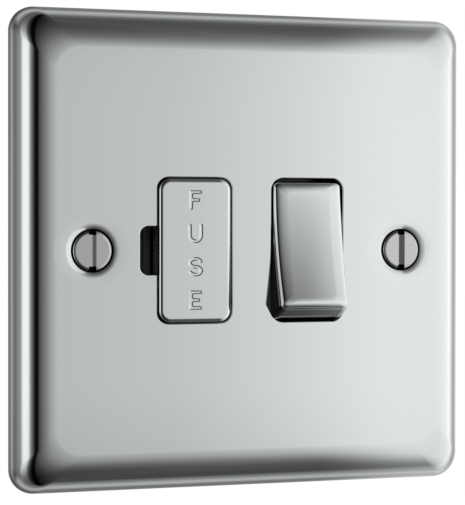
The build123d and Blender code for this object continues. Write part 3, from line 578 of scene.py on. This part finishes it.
@dataclass
class FrontPlate:
    """Pressed plate: rolled shoulder, dimples for the screws, and the punched openings."""

    side: float = 88.0
    projection: float = 7.0
    sheet: float = 1.0
    rim: float = 0.4
    shoulder: float = 7.4
    corner: float = 4.5
    bay_x: float = 10.88
    bay_w: float = 14.35
    bay_h: float = 26.64
    bay_r: float = 2.2
    switch_x: float = 11.08
    switch_w: float = 14.18
    notch_w: float = 3.2
    notch_h: float = 8.75
    notch_r: float = 1.45
    notch_root_r: float = 0.35
    punch_roll: float = 0.2
    screw_x: float = 30.15
    dimple_bends: tuple = ((35.5, 3.5), (2.6, 28.0), (0.12, 73.0))
    dimple_mouth: float = 3.9
    dimple_seat: float = 3.8
    dimple_hole: float = 2.1
    dimple_neck: float = 4.4

    def openings(self) -> list:
        """Draws the openings.

        Returns:
            Outlines of the fuse bay with its notch, and of the switch bay.
        """
        low, high = -self.bay_x - self.bay_w / 2, -self.bay_x + self.bay_w / 2
        top, half, tip = self.bay_h / 2, self.notch_h / 2, low - self.notch_w
        bay = [(low, -top), (high, -top), (high, top), (low, top)]
        notch = [(low, half), (tip, half), (tip, -half), (low, -half)]
        radii = [self.bay_r] * 4 + [self.notch_root_r, self.notch_r, self.notch_r, self.notch_root_r]
        switch = Outline.rectangle(self.switch_x, self.switch_w, self.bay_h, self.bay_r)
        return [Outline.polygon(bay + notch, radii), switch]

    def build(self) -> tuple:
        """Builds the plate as one closed skin, with the throats of its dimples apart.

        The shoulder is a quarter ellipse carried round a rounded square whose corners keep one radius.
        The inside is a second one, a sheet's thickness in.

        Returns:
            The plate and the throats.
        """
        skin, throat = Skin(), Skin()
        flat_side = self.side - 2 * self.shoulder
        outer = Outline.rectangle(0, flat_side, flat_side, self.corner, 20, Turn.SLIDE)
        inner = Outline.rectangle(0, flat_side, flat_side, self.corner - self.sheet, 20, Turn.SLIDE)
        rise, under = self.projection - self.rim, self.projection - self.sheet
        reach = self.shoulder - self.sheet
        skin.sweep(outer, Profile.ellipse(0, self.rim, self.shoulder, rise, steps=48))
        skin.sweep(outer, Profile.line((self.shoulder, self.rim), (self.shoulder, 0)))
        skin.sweep(inner.inward(), Profile.ellipse(0, self.rim, -reach, rise - self.sheet, steps=24))
        skin.sweep(inner.inward(), Profile.line((-reach, self.rim), (-reach, 0)))
        skin.flat(0, -1, outer.grown(self.shoulder).points, [inner.grown(reach).points])
        face_holes, back_holes = [], []
        roll, brink = self.punch_roll, self.projection - self.punch_roll
        for opening in self.openings():
            rim = opening.grown(roll).inward()
            skin.sweep(rim, Profile.ellipse(0, brink, roll, roll, steps=6))
            skin.sweep(opening.inward(), Profile.line((0, brink), (0, under)))
            face_holes.append(rim.points)
            back_holes.append(opening.points)
        for x in (-self.screw_x, self.screw_x):
            face_edge, back_edge = self.dimple(skin, throat, x, under)
            face_holes.append(face_edge)
            back_holes.append(back_edge)
        skin.flat(self.projection, 1, outer.points, face_holes)
        skin.flat(under, -1, inner.points, back_holes)
        plate = skin.write("front_plate_skin", WALL_AXES, (0, 0, 0))
        return plate, throat.write("dimple_throats", WALL_AXES, (0, 0, 0))

    def dimple(self, skin: Skin, throat: Skin, x: float, under: float) -> tuple:
        """Adds the pressed dimple of a screw: its bends, then a steep wall, a cone and the hole.

        Args:
            skin: skin of the plate's face and back.
            throat: skin of what lies behind the mouth.
            x: middle of the dimple.
            under: height of the plate's inside.

        Returns:
            The loops where the dimple meets the face and the inside.
        """
        lip = Profile.bends(self.projection, self.dimple_bends)
        out, front = lip[-1].out[-1], lip[-1].front[-1]
        edge = self.dimple_mouth + out
        rim = Outline.circle(x, edge).inward()
        for bend in lip[:-1]:
            skin.sweep(rim, bend)
        throat.sweep(rim, lip[-1])
        seat = front - (self.dimple_mouth - self.dimple_seat) * tan(radians(self.dimple_bends[-1][1]))
        hole = edge - self.dimple_hole
        neck, back = self.dimple_neck, self.dimple_neck - self.sheet * 2**0.5
        heel = self.dimple_hole + under - back
        throat.sweep(rim, Profile.line((out, front), (edge - self.dimple_seat, seat)))
        throat.sweep(rim, Profile.line((edge - self.dimple_seat, seat), (hole, neck)))
        throat.sweep(rim, Profile.line((hole, neck), (hole, back)))
        hub = Outline.circle(x, self.dimple_hole)
        skin.sweep(hub, Profile.line((heel - self.dimple_hole, under), (0, back)))
        return rim.points, Outline.circle(x, heel).points


@dataclass
class FixingScrews:
    """Slotted countersunk screws: a head with a rounded edge, a plain neck and the thread."""

    spacing: float = 60.3
    face: float = 7.0
    head: float = 3.65
    edge_run: float = 0.65
    edge_drop: float = 0.5
    slot: float = 1.4
    slot_depth: float = 1.35
    cone_top: float = 6.45
    neck: float = 1.5
    neck_end: float = 0.5
    thread: float = 1.75
    tip: float = -21.0
    tip_bevel: float = 0.5
    seam: float = 0.0005

    def build(self) -> bpy.types.Object:
        """Builds both screws.

        Returns:
            The screws.
        """
        skin = Skin()
        for x in (-self.spacing / 2, self.spacing / 2):
            self.turn(skin, x)
        return skin.write("fixing_screw_bodies", WALL_AXES, (0, 0, 0))

    def turn(self, skin: Skin, x: float) -> None:
        """Adds one screw: the slotted upper head as two halves, and the rest as turned rings.

        A ring of radius r meets the slot's wall at the angle acos(slot / 2 r) on each side of x. The slot's
        floor and walls stand half a micron off the rest, so that their creases stay crisp.

        Args:
            skin: skin to add to.
            x: middle of the screw.
        """
        floor, half = self.face - self.slot_depth, self.slot / 2
        low = self.head - (self.cone_top - floor)
        inner, drop = self.head - self.edge_run, self.face - self.edge_drop
        parts = [
            Profile.ellipse(inner, drop, self.edge_run, self.edge_drop, steps=16),
            Profile.line((self.head, drop), (self.head, self.cone_top)),
            Profile.line((self.head, self.cone_top), (low, floor)),
        ]
        rim = np.concatenate([np.column_stack((part.out, part.front)) for part in parts])
        reach = np.sqrt(rim[:, 0] ** 2 - half**2)
        side_loop = np.column_stack((np.append(reach, -reach[::-1]), np.append(rim[:, 1], rim[::-1, 1])))
        for side in (-1, 1):
            for part in parts:
                angle = np.linspace(-1, 1, 49)[None] * np.arccos(half / part.out)[:, None]
                ring = np.dstack((side * np.cos(angle), np.sin(angle)))
                flat = ring * part.out[:, None, None] + np.array([x, 0.0])
                height = np.broadcast_to(part.front[:, None], angle.shape)
                slant = -part.d_front[:, None, None] * ring
                lift = np.broadcast_to(part.d_out[:, None], angle.shape)
                skin.grid(np.dstack((flat, height)), np.dstack((slant, lift)), closed=False)
            arc = np.linspace(-1, 1, 49) * np.arccos(half / inner)
            half_face = np.column_stack((x + side * inner * np.cos(arc), inner * np.sin(arc)))
            skin.flat(self.face, 1, half_face, [])
            wall = Skin()
            wall.flat(x + side * (half - self.seam), -side, side_loop, [])
            turned = [np.roll(rows[0], 1, axis=1) for rows in (wall.points, wall.normals)]
            skin.add(*turned, np.array(wall.faces))
        end = np.linspace(-1, 1, 9) * np.arcsin(half / low)
        strip = np.column_stack((low * np.sin(end), low * np.cos(end)))
        skin.flat(floor + self.seam, 1, np.concatenate((strip, -strip)) + np.array([x, 0.0]), [])
        neck_top = floor - (low - self.neck)
        rings = [
            ((low, floor), (self.neck, neck_top)),
            ((self.neck, neck_top), (self.neck, self.neck_end)),
            ((self.neck, self.neck_end), (self.thread, self.neck_end)),
            ((self.thread, self.neck_end), (self.thread, self.tip + self.tip_bevel)),
            ((self.thread, self.tip + self.tip_bevel), (self.thread - self.tip_bevel, self.tip)),
        ]
        hub = Outline.circle(x, 1.0)
        for first, last in rings:
            skin.sweep(hub, Profile.line((first[0] - 1, first[1]), (last[0] - 1, last[1])))
        skin.flat(self.tip, -1, hub.grown(self.thread - self.tip_bevel - 1).points, [])


@dataclass
class FuseCarrier:
    """Chrome face of the pull-out carrier, with its sunk word."""

    x: float = -11.065
    width: float = 13.55
    height: float = 26.0
    corner: float = 2.1
    front: float = 8.0
    back: float = 5.8
    edge_bends: tuple = ((0.4, 22.0), (1.7, 33.0), (0.6, 37.0), (0.7, 55.0), (0.25, 90.0))
    wall: float = 0.8
    letter_w: float = 2.46
    bowl_w: float = 2.9
    word_z: float = 0.08
    letter_h: float = 3.6
    arm_share: float = 0.72
    ess_open: float = 25.0
    stroke: float = 0.74
    stroke_r: float = 0.3
    inner_r: float = 0.2
    groove_w: float = 0.26
    groove_d: float = 0.1
    pitch: float = 6.07

    def build(self) -> bpy.types.Object:
        """Builds the shell: a rounded edge carried round the face, the sunk letters, and a hollow behind.

        Returns:
            The face.
        """
        skin = Skin()
        edge = Profile.bends(self.front, self.edge_bends)
        run, drop = edge[-1].out[-1], edge[-1].front[-1]
        inset = Outline.rectangle(self.x, self.width - 2 * run, self.height - 2 * run, self.corner - run, 12)
        for bend in edge:
            skin.sweep(inset, bend)
        skin.sweep(inset, Profile.line((run, drop), (run, self.back)))
        letters = self.word()
        skin.flat(self.front, 1, inset.points, [letter.points for letter in letters])
        for letter in letters:
            skin.sweep(letter.inward(), Profile.groove(self.front, self.groove_w, self.groove_d))
            skin.flat(self.front - self.groove_d, 1, letter.grown(-self.groove_w).points, [])
        hollow = Outline.rectangle(
            self.x, self.width - 2 * self.wall, self.height - 2 * self.wall, self.corner - self.wall, 12
        )
        skin.sweep(hollow.inward(), Profile.line((0, self.front - self.wall), (0, self.back)))
        skin.flat(self.front - self.wall, -1, hollow.points, [])
        skin.flat(self.back, -1, inset.grown(run).points, [hollow.points])
        return skin.write("fuse_carrier_shell", WALL_AXES, (0, 0, 0))

    def word(self) -> list:
        """Outlines of the four letters, one above the other.

        Two are polygons of bars. The others are strokes of even width: a bowl that is half a circle, and
        two arcs that meet in the middle, each open by ess_open past its side.

        Returns:
            The outlines.
        """
        w, h, t = self.letter_w / 2, self.letter_h / 2, self.stroke
        stem, arm, half = t - w, self.arm_share * w, t / 2
        out, bend = self.stroke_r, self.inner_r
        eff = Outline.polygon(
            [(-w, -h), (stem, -h), (stem, -half), (arm, -half), (arm, half)]
            + [(stem, half), (stem, h - t), (w, h - t), (w, h), (-w, h)],
            [out, out, bend, out, out, bend, bend, out, out, out],
            6,
        )
        ee = Outline.polygon(
            [(-w, -h), (w, -h), (w, t - h), (stem, t - h), (stem, -half), (arm, -half)]
            + [(arm, half), (stem, half), (stem, h - t), (w, h - t), (w, h), (-w, h)],
            [out, out, out, bend, bend, out, out, bend, bend, out, out, out],
            6,
        )
        reach = self.bowl_w / 2 - half
        arc = np.radians(np.linspace(180, 360, 17))
        bowl = np.column_stack((reach * np.cos(arc), half - h + reach + reach * np.sin(arc)))
        you = Outline.ribbon(np.concatenate(([(-reach, h - half)], bowl, [(reach, h - half)])), half)
        lift = (h - half) / 2
        upper = np.radians(np.linspace(self.ess_open, 270, 21))
        lower = np.radians(np.linspace(90, self.ess_open - 180, 21))[1:]
        bowls = [
            np.column_stack((reach * np.cos(arc), middle + lift * np.sin(arc)))
            for arc, middle in ((upper, lift), (lower, -lift))
        ]
        word = (eff, you, Outline.ribbon(np.concatenate(bowls), half), ee)
        top = (len(word) - 1) / 2 * self.pitch + self.word_z
        return [letter.moved(self.x, top - k * self.pitch) for k, letter in enumerate(word)]


@dataclass
class Rocker:
    """Chrome rocker cap: a dished face with wide soft edges and drafted walls, drawn about its pivot."""

    x: float = 11.0
    pivot_y: float = -4.4
    lean: float = 11.5
    half: float = 6.6
    end: float = 11.65
    front: float = 4.95
    back: float = -1.6
    dish: float = 0.92
    crown: float = 0.06
    side_draft: float = 6.0
    end_draft: float = 15.0
    edge_run: float = 1.8
    edge_drop: float = 1.2
    edge_power: float = 2.7
    side_share: float = 1.5
    corner: float = 0.85
    plated: float = 0.35
    wall: float = 0.9
    inner_r: float = 0.3
    arc_steps: int = 10
    edge_points: int = 40

    def build(self) -> tuple:
        """Builds the cap as a rounded block that is narrow by side_share, then bends it to shape.

        Returns:
            The plated face with its edges, the ends, and the bare sides with the inside.
        """
        face, ends, skirt = Skin(), Skin(), Skin()
        run, base = self.edge_run, self.front - self.edge_drop
        width = 2 * self.half / self.side_share
        inset = Outline.rectangle(
            0, width - 2 * run, 2 * (self.end - run), self.corner,
            self.arc_steps, Turn.SLIDE, self.edge_points,
        )
        face.sweep(inset, Profile.ellipse(0, base, run, self.edge_drop, steps=28, power=self.edge_power))
        face.sweep(inset, Profile.line((run, base), (run, base - self.plated), 2))
        side = self.arc_steps + 1 + self.edge_points
        wall = Profile.line((run, base - self.plated), (run, self.back), 10)
        for k, skin in enumerate((ends, skirt, ends, skirt)):
            skin.sweep(inset.part(side * k + self.arc_steps // 2, side + 1), wall, closed=False)
        right = inset.points[side : 3 * side - self.edge_points]
        across = np.linspace(-1, 1, 25)
        x, z = right[:, :1] * across, right[:, 1:] * np.ones_like(across)
        points = np.dstack((x, z, np.full_like(x, self.front)))
        face.grid(points, np.broadcast_to((0.0, 0.0, 1.0), points.shape), closed=False)
        thin = self.wall / self.side_share
        inner = Outline.rectangle(
            0, width - 2 * thin, 2 * (self.end - self.wall), self.inner_r, 6, split=self.edge_points // 2
        )
        skirt.sweep(inner.inward(), Profile.line((0, base), (0, self.back), 10))
        skirt.flat(self.back, -1, inset.grown(run).points, [inner.points])
        lean = radians(self.lean)
        axes = np.array([(1.0, 0.0, 0.0), (0.0, sin(lean), cos(lean)), (0.0, -cos(lean), sin(lean))])
        pieces = []
        for skin, name in ((face, "face"), (ends, "ends"), (skirt, "skirt")):
            skin.bend(self.shape, self.slope)
            pieces.append(skin.write(f"rocker_cap_{name}", axes, (self.x, self.pivot_y, 0)))
        return tuple(pieces)

    def terms(self, points: np.ndarray) -> tuple:
        """Coordinates with the shares that the bend needs.

        Args:
            points: array of n by 3.

        Returns:
            x, z and f, the fade from 1 at the face to 0 at the back, the swell of the face, and the two
            draft slopes for each millimetre of half-width and half-length.
        """
        x, z, f = points.T
        fade = (f - self.back) / (self.front - self.back)
        swell = self.dish * (z / self.end) ** 2 - self.crown * (x * self.side_share / self.half) ** 2
        kx, kz = tan(radians(self.side_draft)) / self.half, tan(radians(self.end_draft)) / self.end
        return x, z, f, fade, swell, kx, kz

    def shape(self, points: np.ndarray) -> np.ndarray:
        """Bends the block to f + fade (dish (z / end)^2 - crown (x / half)^2), and spreads its walls.

        Args:
            points: array of n by 3.

        Returns:
            The moved points.
        """
        x, z, f, fade, swell, kx, kz = self.terms(points)
        deep = self.front - f
        return np.column_stack((x * self.side_share * (1 + kx * deep), z * (1 + kz * deep), f + swell * fade))

    def slope(self, points: np.ndarray) -> np.ndarray:
        """Derivatives of the bend.

        Args:
            points: array of n by 3.

        Returns:
            Array of n by 3 by 3, with a row for each moved coordinate.
        """
        x, z, f, fade, swell, kx, kz = self.terms(points)
        deep = self.front - f
        table = np.zeros((len(points), 3, 3))
        table[:, 0, 0] = self.side_share * (1 + kx * deep)
        table[:, 0, 2] = -kx * x * self.side_share
        table[:, 1, 1] = 1 + kz * deep
        table[:, 1, 2] = -kz * z
        table[:, 2, 0] = -2 * self.crown * x * (self.side_share / self.half) ** 2 * fade
        table[:, 2, 1] = 2 * self.dish * z / self.end**2 * fade
        table[:, 2, 2] = 1 + swell / (self.front - self.back)
        return table


@dataclass
class PlungerSpring:
    """Coil behind a plunger."""

    side: str
    stroke: float = 0.6

    def build(self) -> bpy.types.Object:
        """Copies the CAD coil, merged, and hangs the copy on the rocker.

        The coil lies along the rocker's lean.

        Returns:
            The coil.
        """
        name = f"pressed_spring_{self.side}"
        shape = bmesh.new()
        shape.from_mesh(frame["nodes"][f"plunger_spring_{self.side}"].data)
        bmesh.ops.remove_doubles(shape, verts=shape.verts, dist=MERGE_M)
        mesh = bpy.data.meshes.new(name)
        shape.to_mesh(mesh)
        shape.free()
        mesh.shade_smooth()
        mesh.set_sharp_from_angle(angle=CREASE)
        coil = new_object(name, mesh)
        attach(coil, "rocker")
        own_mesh(coil)
        return coil


@dataclass
class Studio:
    """Camera, lamps, floor and the tent that the chrome mirrors."""

    azimuth: float = -19.384
    elevation: float = 0.802
    roll: float = 0.071
    distance: float = 376.3
    focal_px: float = 2008.43
    centre_px: tuple = (238.57, 249.71)
    frame_px: tuple = (465, 505)
    sensor_mm: float = 36.0
    lamp_side: float = 0.9
    soft_light: float = 0.45
    floor_r: float = 0.55
    floor_z: float = -0.12
    tent_r: float = 0.45

    def camera(self) -> None:
        """Places the camera as fitted to the photograph."""
        data = bpy.data.cameras.new("camera")
        longest = max(self.frame_px)
        data.sensor_fit = "AUTO"
        data.sensor_width = self.sensor_mm
        data.lens = self.focal_px * self.sensor_mm / longest
        data.shift_x = (self.frame_px[0] / 2 - self.centre_px[0]) / longest
        data.shift_y = (self.centre_px[1] - self.frame_px[1] / 2) / longest
        data.clip_start = 0.01
        camera = new_object("camera", data)
        az, el = radians(self.azimuth), radians(self.elevation)
        back = Vector((sin(az) * cos(el), -cos(az) * cos(el), sin(el)))
        camera.location = back * self.distance * MM
        aim = back.to_track_quat("Z", "Y")
        camera.rotation_euler = (aim @ Euler((0, 0, radians(self.roll))).to_quaternion()).to_euler()
        bpy.context.scene.camera = camera

    def build(self) -> None:
        """Sets the camera, world, lamps, floor and tent."""
        self.camera()
        self.world()
        self.lamp("key", (-0.5, -0.9, 0.9), 14.0)
        self.lamp("fill", (0.9, -0.7, 0.4), 6.0)
        self.lamp("back", (0.3, 0.9, 0.7), 8.0)
        self.floor()
        self.tent()

    def world(self) -> None:
        """White behind everything that is seen or mirrored, and a plain soft light on the rest."""
        world = bpy.data.worlds.new("studio")
        bpy.context.scene.world = world
        world.use_nodes = True
        tree = world.node_tree
        tree.nodes.clear()
        path = add_node(tree, "LightPath", {}, {}).outputs
        seen = self.math(tree, "MAXIMUM", path["Is Camera Ray"], path["Is Glossy Ray"])
        clear = self.math(tree, "MAXIMUM", seen, path["Is Transmission Ray"])
        white = linear("#FFFFFF")
        soft = add_node(tree, "Background", {}, {"Color": white, "Strength": self.soft_light})
        full = add_node(tree, "Background", {}, {"Color": white, "Strength": 1.0})
        mixed = add_node(tree, "MixShader", {}, {0: clear, 1: soft.outputs[0], 2: full.outputs[0]})
        add_node(tree, "OutputWorld", {}, {"Surface": mixed.outputs[0]})

    def lamp(self, name: str, place: tuple, power: float) -> None:
        """Adds a soft square lamp that faces the object and isn't mirrored.

        Args:
            name: lamp name.
            place: position in metres.
            power: watts.
        """
        data = bpy.data.lights.new(name, "AREA")
        data.shape = "SQUARE"
        data.size = self.lamp_side
        data.energy = power
        lamp = new_object(name, data)
        lamp.location = place
        lamp.rotation_euler = Vector(place).to_track_quat("Z", "Y").to_euler()
        lamp.visible_glossy = False

    def floor(self) -> None:
        """Lays a pale round floor well below the unit, which hangs as on its wall."""
        loop = Outline.circle(0, self.floor_r, 96).points
        rim = np.column_stack((loop, np.full(len(loop), self.floor_z)))
        mesh = bpy.data.meshes.new("floor")
        mesh.from_pydata(rim.tolist(), [], [list(range(len(rim)))])
        floor = new_object("floor", mesh)
        material = bpy.data.materials.new("pale_paper")
        material.use_nodes = True
        shader = material.node_tree.nodes["Principled BSDF"]
        shader.inputs["Base Color"].default_value = linear("#F4F4F2")
        shader.inputs["Roughness"].default_value = 0.9
        mesh.materials.append(material)
        floor.visible_glossy = False

    def tent(self) -> None:
        """Hangs the tent that the chrome mirrors: a sphere round the unit.

        A point at bearing b from the plate's normal and height h stands at
        r (sin b cos h, -cos b cos h, sin h).
        """
        bearing = np.radians(np.linspace(-180, 180, 181))
        height = np.radians(np.linspace(-90, 90, 61))
        b, h = np.meshgrid(bearing, height)
        points = self.tent_r * np.dstack((np.sin(b) * np.cos(h), -np.cos(b) * np.cos(h), np.sin(h)))
        index = np.arange(b.size).reshape(b.shape)
        quads = np.stack((index[:-1, :-1], index[:-1, 1:], index[1:, 1:], index[1:, :-1]), axis=2)
        mesh = bpy.data.meshes.new("tent")
        mesh.from_pydata(points.reshape(-1, 3).tolist(), [], quads.reshape(-1, 4).tolist())
        tent = new_object("tent", mesh)
        mesh.materials.append(self.tent_cloth())
        for ray in ("camera", "diffuse", "shadow", "transmission"):
            setattr(tent, f"visible_{ray}", False)

    def tent_cloth(self) -> bpy.types.Material:
        """Builds the tent's brightness.

        One curve goes round it. It is dimmed by a curve up it, which is steep at the left and slow at the
        right, where the large panel stands. A pale ring lies behind the plate, above and below it.

        Returns:
            The material.
        """
        material = bpy.data.materials.new("tent_cloth")
        material.use_nodes = True
        tree = material.node_tree
        tree.nodes.clear()
        place = add_node(tree, "TexCoord", {}, {})
        shrunk = add_node(tree, "VectorMath", {"operation": "NORMALIZE"}, {0: place.outputs["Object"]})
        axis = add_node(tree, "SeparateXYZ", {}, {0: shrunk.outputs[0]}).outputs
        ahead = self.math(tree, "MULTIPLY", axis["Y"], -1.0)
        bearing = self.math(tree, "ARCTAN2", axis["X"], ahead)
        height = self.math(tree, "ARCSINE", axis["Z"], 0.0)
        swing = self.math(tree, "ARCCOSINE", ahead, 0.0)
        round_it = self.ramp(tree, bearing, ROUND_STOPS, 180.0)
        steep = self.ramp(tree, height, STEEP_STOPS, 90.0)
        slow = self.ramp(tree, height, SLOW_STOPS, 90.0)
        panel = self.fade(tree, axis["X"], PANEL_EDGE)
        climb = self.mix(tree, "MIX", panel, steep, slow)
        front = self.mix(tree, "MULTIPLY", 1.0, round_it, climb)
        tipped = self.math(tree, "SUBTRACT", swing, self.math(tree, "MULTIPLY", axis["Z"], RING_TIP))
        ring = self.ramp(tree, tipped, RING_STOPS, 180.0)
        above = self.fade(tree, self.math(tree, "ABSOLUTE", axis["Z"], 0.0), RING_EDGE)
        cloth = self.mix(tree, "ADD", above, front, ring)
        glow = add_node(tree, "Emission", {}, {"Color": cloth, "Strength": TENT_GAIN})
        add_node(tree, "OutputMaterial", {}, {"Surface": glow.outputs[0]})
        return material

    @staticmethod
    def math(tree: Tree, operation: str, first: Socket, second: object) -> Socket:
        """Works a sum on one socket and a second socket or number."""
        return add_node(tree, "Math", {"operation": operation}, {0: first, 1: second}).outputs[0]

    @staticmethod
    def mix(tree: Tree, blend: str, share: object, first: object, second: object) -> Socket:
        """Blends two colours by a share."""
        settings = {"data_type": "RGBA", "blend_type": blend}
        return add_node(tree, "Mix", settings, {0: share, 6: first, 7: second}).outputs[2]

    @staticmethod
    def fade(tree: Tree, value: Socket, edge: tuple) -> Socket:
        """Rises softly from 0 to 1 between the two values of an edge."""
        ends = {"Value": value, "From Min": edge[0], "From Max": edge[1]}
        return add_node(tree, "MapRange", {"interpolation_type": "SMOOTHSTEP"}, ends).outputs[0]

    @staticmethod
    def ramp(tree: Tree, angle: Socket, stops: list, limit: float) -> Socket:
        """Adds a ramp from (degrees, grey) stops.

        Args:
            tree: node tree.
            angle: socket in radians.
            stops: degrees and linear grey of each stop.
            limit: degrees either way that the ramp spans.

        Returns:
            The ramp's colour.
        """
        ends = {"Value": angle, "From Min": -radians(limit), "From Max": radians(limit)}
        share = add_node(tree, "MapRange", {}, ends)
        node = add_node(tree, "ValToRGB", {}, {"Fac": share.outputs[0]})
        ramp = node.color_ramp
        while len(ramp.elements) < len(stops):
            ramp.elements.new(0.5)
        for element, (degrees, grey) in zip(ramp.elements, stops):
            element.position = (degrees + limit) / (2 * limit)
            element.color = (grey, grey, grey, 1.0)
        return node.outputs[0]


TENT_GAIN = 1.25
# Round the tent by bearing: a dim wall at the far left, a strip lamp, a dark gap, and cloth that brightens
# towards the large panel at the right
ROUND_STOPS = [
    (-180, 0.12), (-144, 0.17), (-136, 0.33), (-130, 0.33), (-121, 0.17), (-112, 0.14), (-91, 0.30),
    (-88.2, 0.38), (-83.6, 0.78), (-80, 0.88), (-68, 0.87), (-64.4, 0.70), (-58.8, 0.22), (-54.2, 0.11),
    (-49.5, 0.02), (-45.8, 0.003), (-40.1, 0.004), (-34.4, 0.08), (-28.6, 0.125), (-18, 0.22), (-7, 0.35),
    (4, 0.44), (15.7, 0.53), (21.1, 0.635), (26.2, 0.76), (48, 0.775), (71.7, 0.86), (85.4, 0.99),
    (106.4, 0.35), (125, 0.50), (171, 0.50), (180, 0.12),
]
# Up the tent at the left, where the light is a low band, and at the right, where the panel is tall
STEEP_STOPS = [
    (-90, 0.07), (-67, 0.075), (-58.9, 0.09), (-50.5, 0.11), (-45.8, 0.15), (-41, 0.20), (-36.3, 0.28),
    (-31.5, 0.39), (-26.7, 0.52), (-21.9, 0.63), (-17, 0.72), (-13, 0.80), (-10.7, 0.93), (-7.9, 1.0),
    (6.3, 1.0), (9.1, 0.98), (11, 0.82), (15, 0.71), (20, 0.58), (24.8, 0.46), (29.6, 0.355), (34.4, 0.275),
    (39.2, 0.225), (43.9, 0.18), (53.3, 0.125), (62.5, 0.10), (90, 0.08),
]
SLOW_STOPS = [
    (-90, 0.18), (-66.2, 0.21), (-62.6, 0.24), (-58.9, 0.284), (-55.1, 0.37), (-50.5, 0.48), (-45.8, 0.63),
    (-41, 0.71), (-36.3, 0.81), (-32.5, 0.85), (-24.8, 0.88), (-13, 0.93), (-8, 0.99), (0, 1.0), (6, 1.0),
    (10, 0.97), (15, 0.93), (24.8, 0.86), (34.4, 0.73), (39.2, 0.61), (43.9, 0.50), (48.6, 0.38),
    (53.3, 0.31), (59.8, 0.24), (65.3, 0.19), (90, 0.15),
]
# Pale ring by the angle from straight ahead
RING_STOPS = [
    (0, 0.0), (84, 0.0), (90, 0.08), (96, 0.20), (102, 0.32), (108, 0.37), (113, 0.31), (118, 0.18),
    (124, 0.10), (150, 0.08),
]
RING_TIP = 0.045
PANEL_EDGE = (0.36, 0.46)
RING_EDGE = (0.42, 0.77)


def dress_nodes() -> None:
    """Gives every CAD node the finish of its slot, and softens its edges."""
    slots = {part["node"]: part["material_slot"] for part in frame["record"]["subparts"]}
    for name, obj in frame["nodes"].items():
        SLOT_FINISH[slots[name]].dress(obj)
        weld = obj.modifiers.new("weld", "WELD")
        weld.merge_threshold = MERGE_M
        bevel = obj.modifiers.new("bevel", "BEVEL")
        bevel.width = BEVEL_MM * MM
        bevel.segments = 2
        bevel.limit_method = "ANGLE"
        bevel.angle_limit = CREASE
        bevel.harden_normals = True
        LOG.info("dressed %s as %s", name, slots[name])


def main() -> None:
    """Builds the pieces and the studio."""
    logging.basicConfig(level=logging.INFO, format="%(name)s: %(message)s")
    bpy.context.scene.view_settings.view_transform = "Standard"
    dress_nodes()
    plate, throats = FrontPlate().build()
    cap, ends, skirt = Rocker().build()
    jobs = [
        (plate, "unit", "chrome_plate", CHROME, ["front_plate"]),
        # The dimple throats get painted shade: a dark dull steel in place of the chrome
        (throats, "unit", "chrome_plate", THROAT_SHADE, []),
        (FixingScrews().build(), "unit", "chrome_screw", CHROME_SCREW, ["fixing_screws"]),
        (FuseCarrier().build(), "fuse_carrier", "chrome_trim", CHROME_TRIM, ["fuse_carrier_face"]),
        (cap, "rocker", "chrome_trim", CHROME_TRIM, ["rocker_cap"]),
        # The rocker's ends get painted shade: a darker chrome than the face
        (ends, "rocker", "chrome_trim", ENDS_SHADE, []),
        (skirt, "rocker", "black_moulding", BARE, []),
    ]
    for side in ("line", "neutral"):
        coil = PlungerSpring(side).build()
        jobs.append((coil, "rocker", "spring_steel", SPRING, [f"plunger_spring_{side}"]))
    for piece, body, slot, finish, nodes in jobs:
        finish.dress(piece)
        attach(piece, body)
        if nodes:
            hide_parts(*nodes)
        LOG.info("built %s, %d faces, on %s", piece.name, len(piece.data.polygons), body)
    Studio().build()


if __name__ == "__main__":
    main()
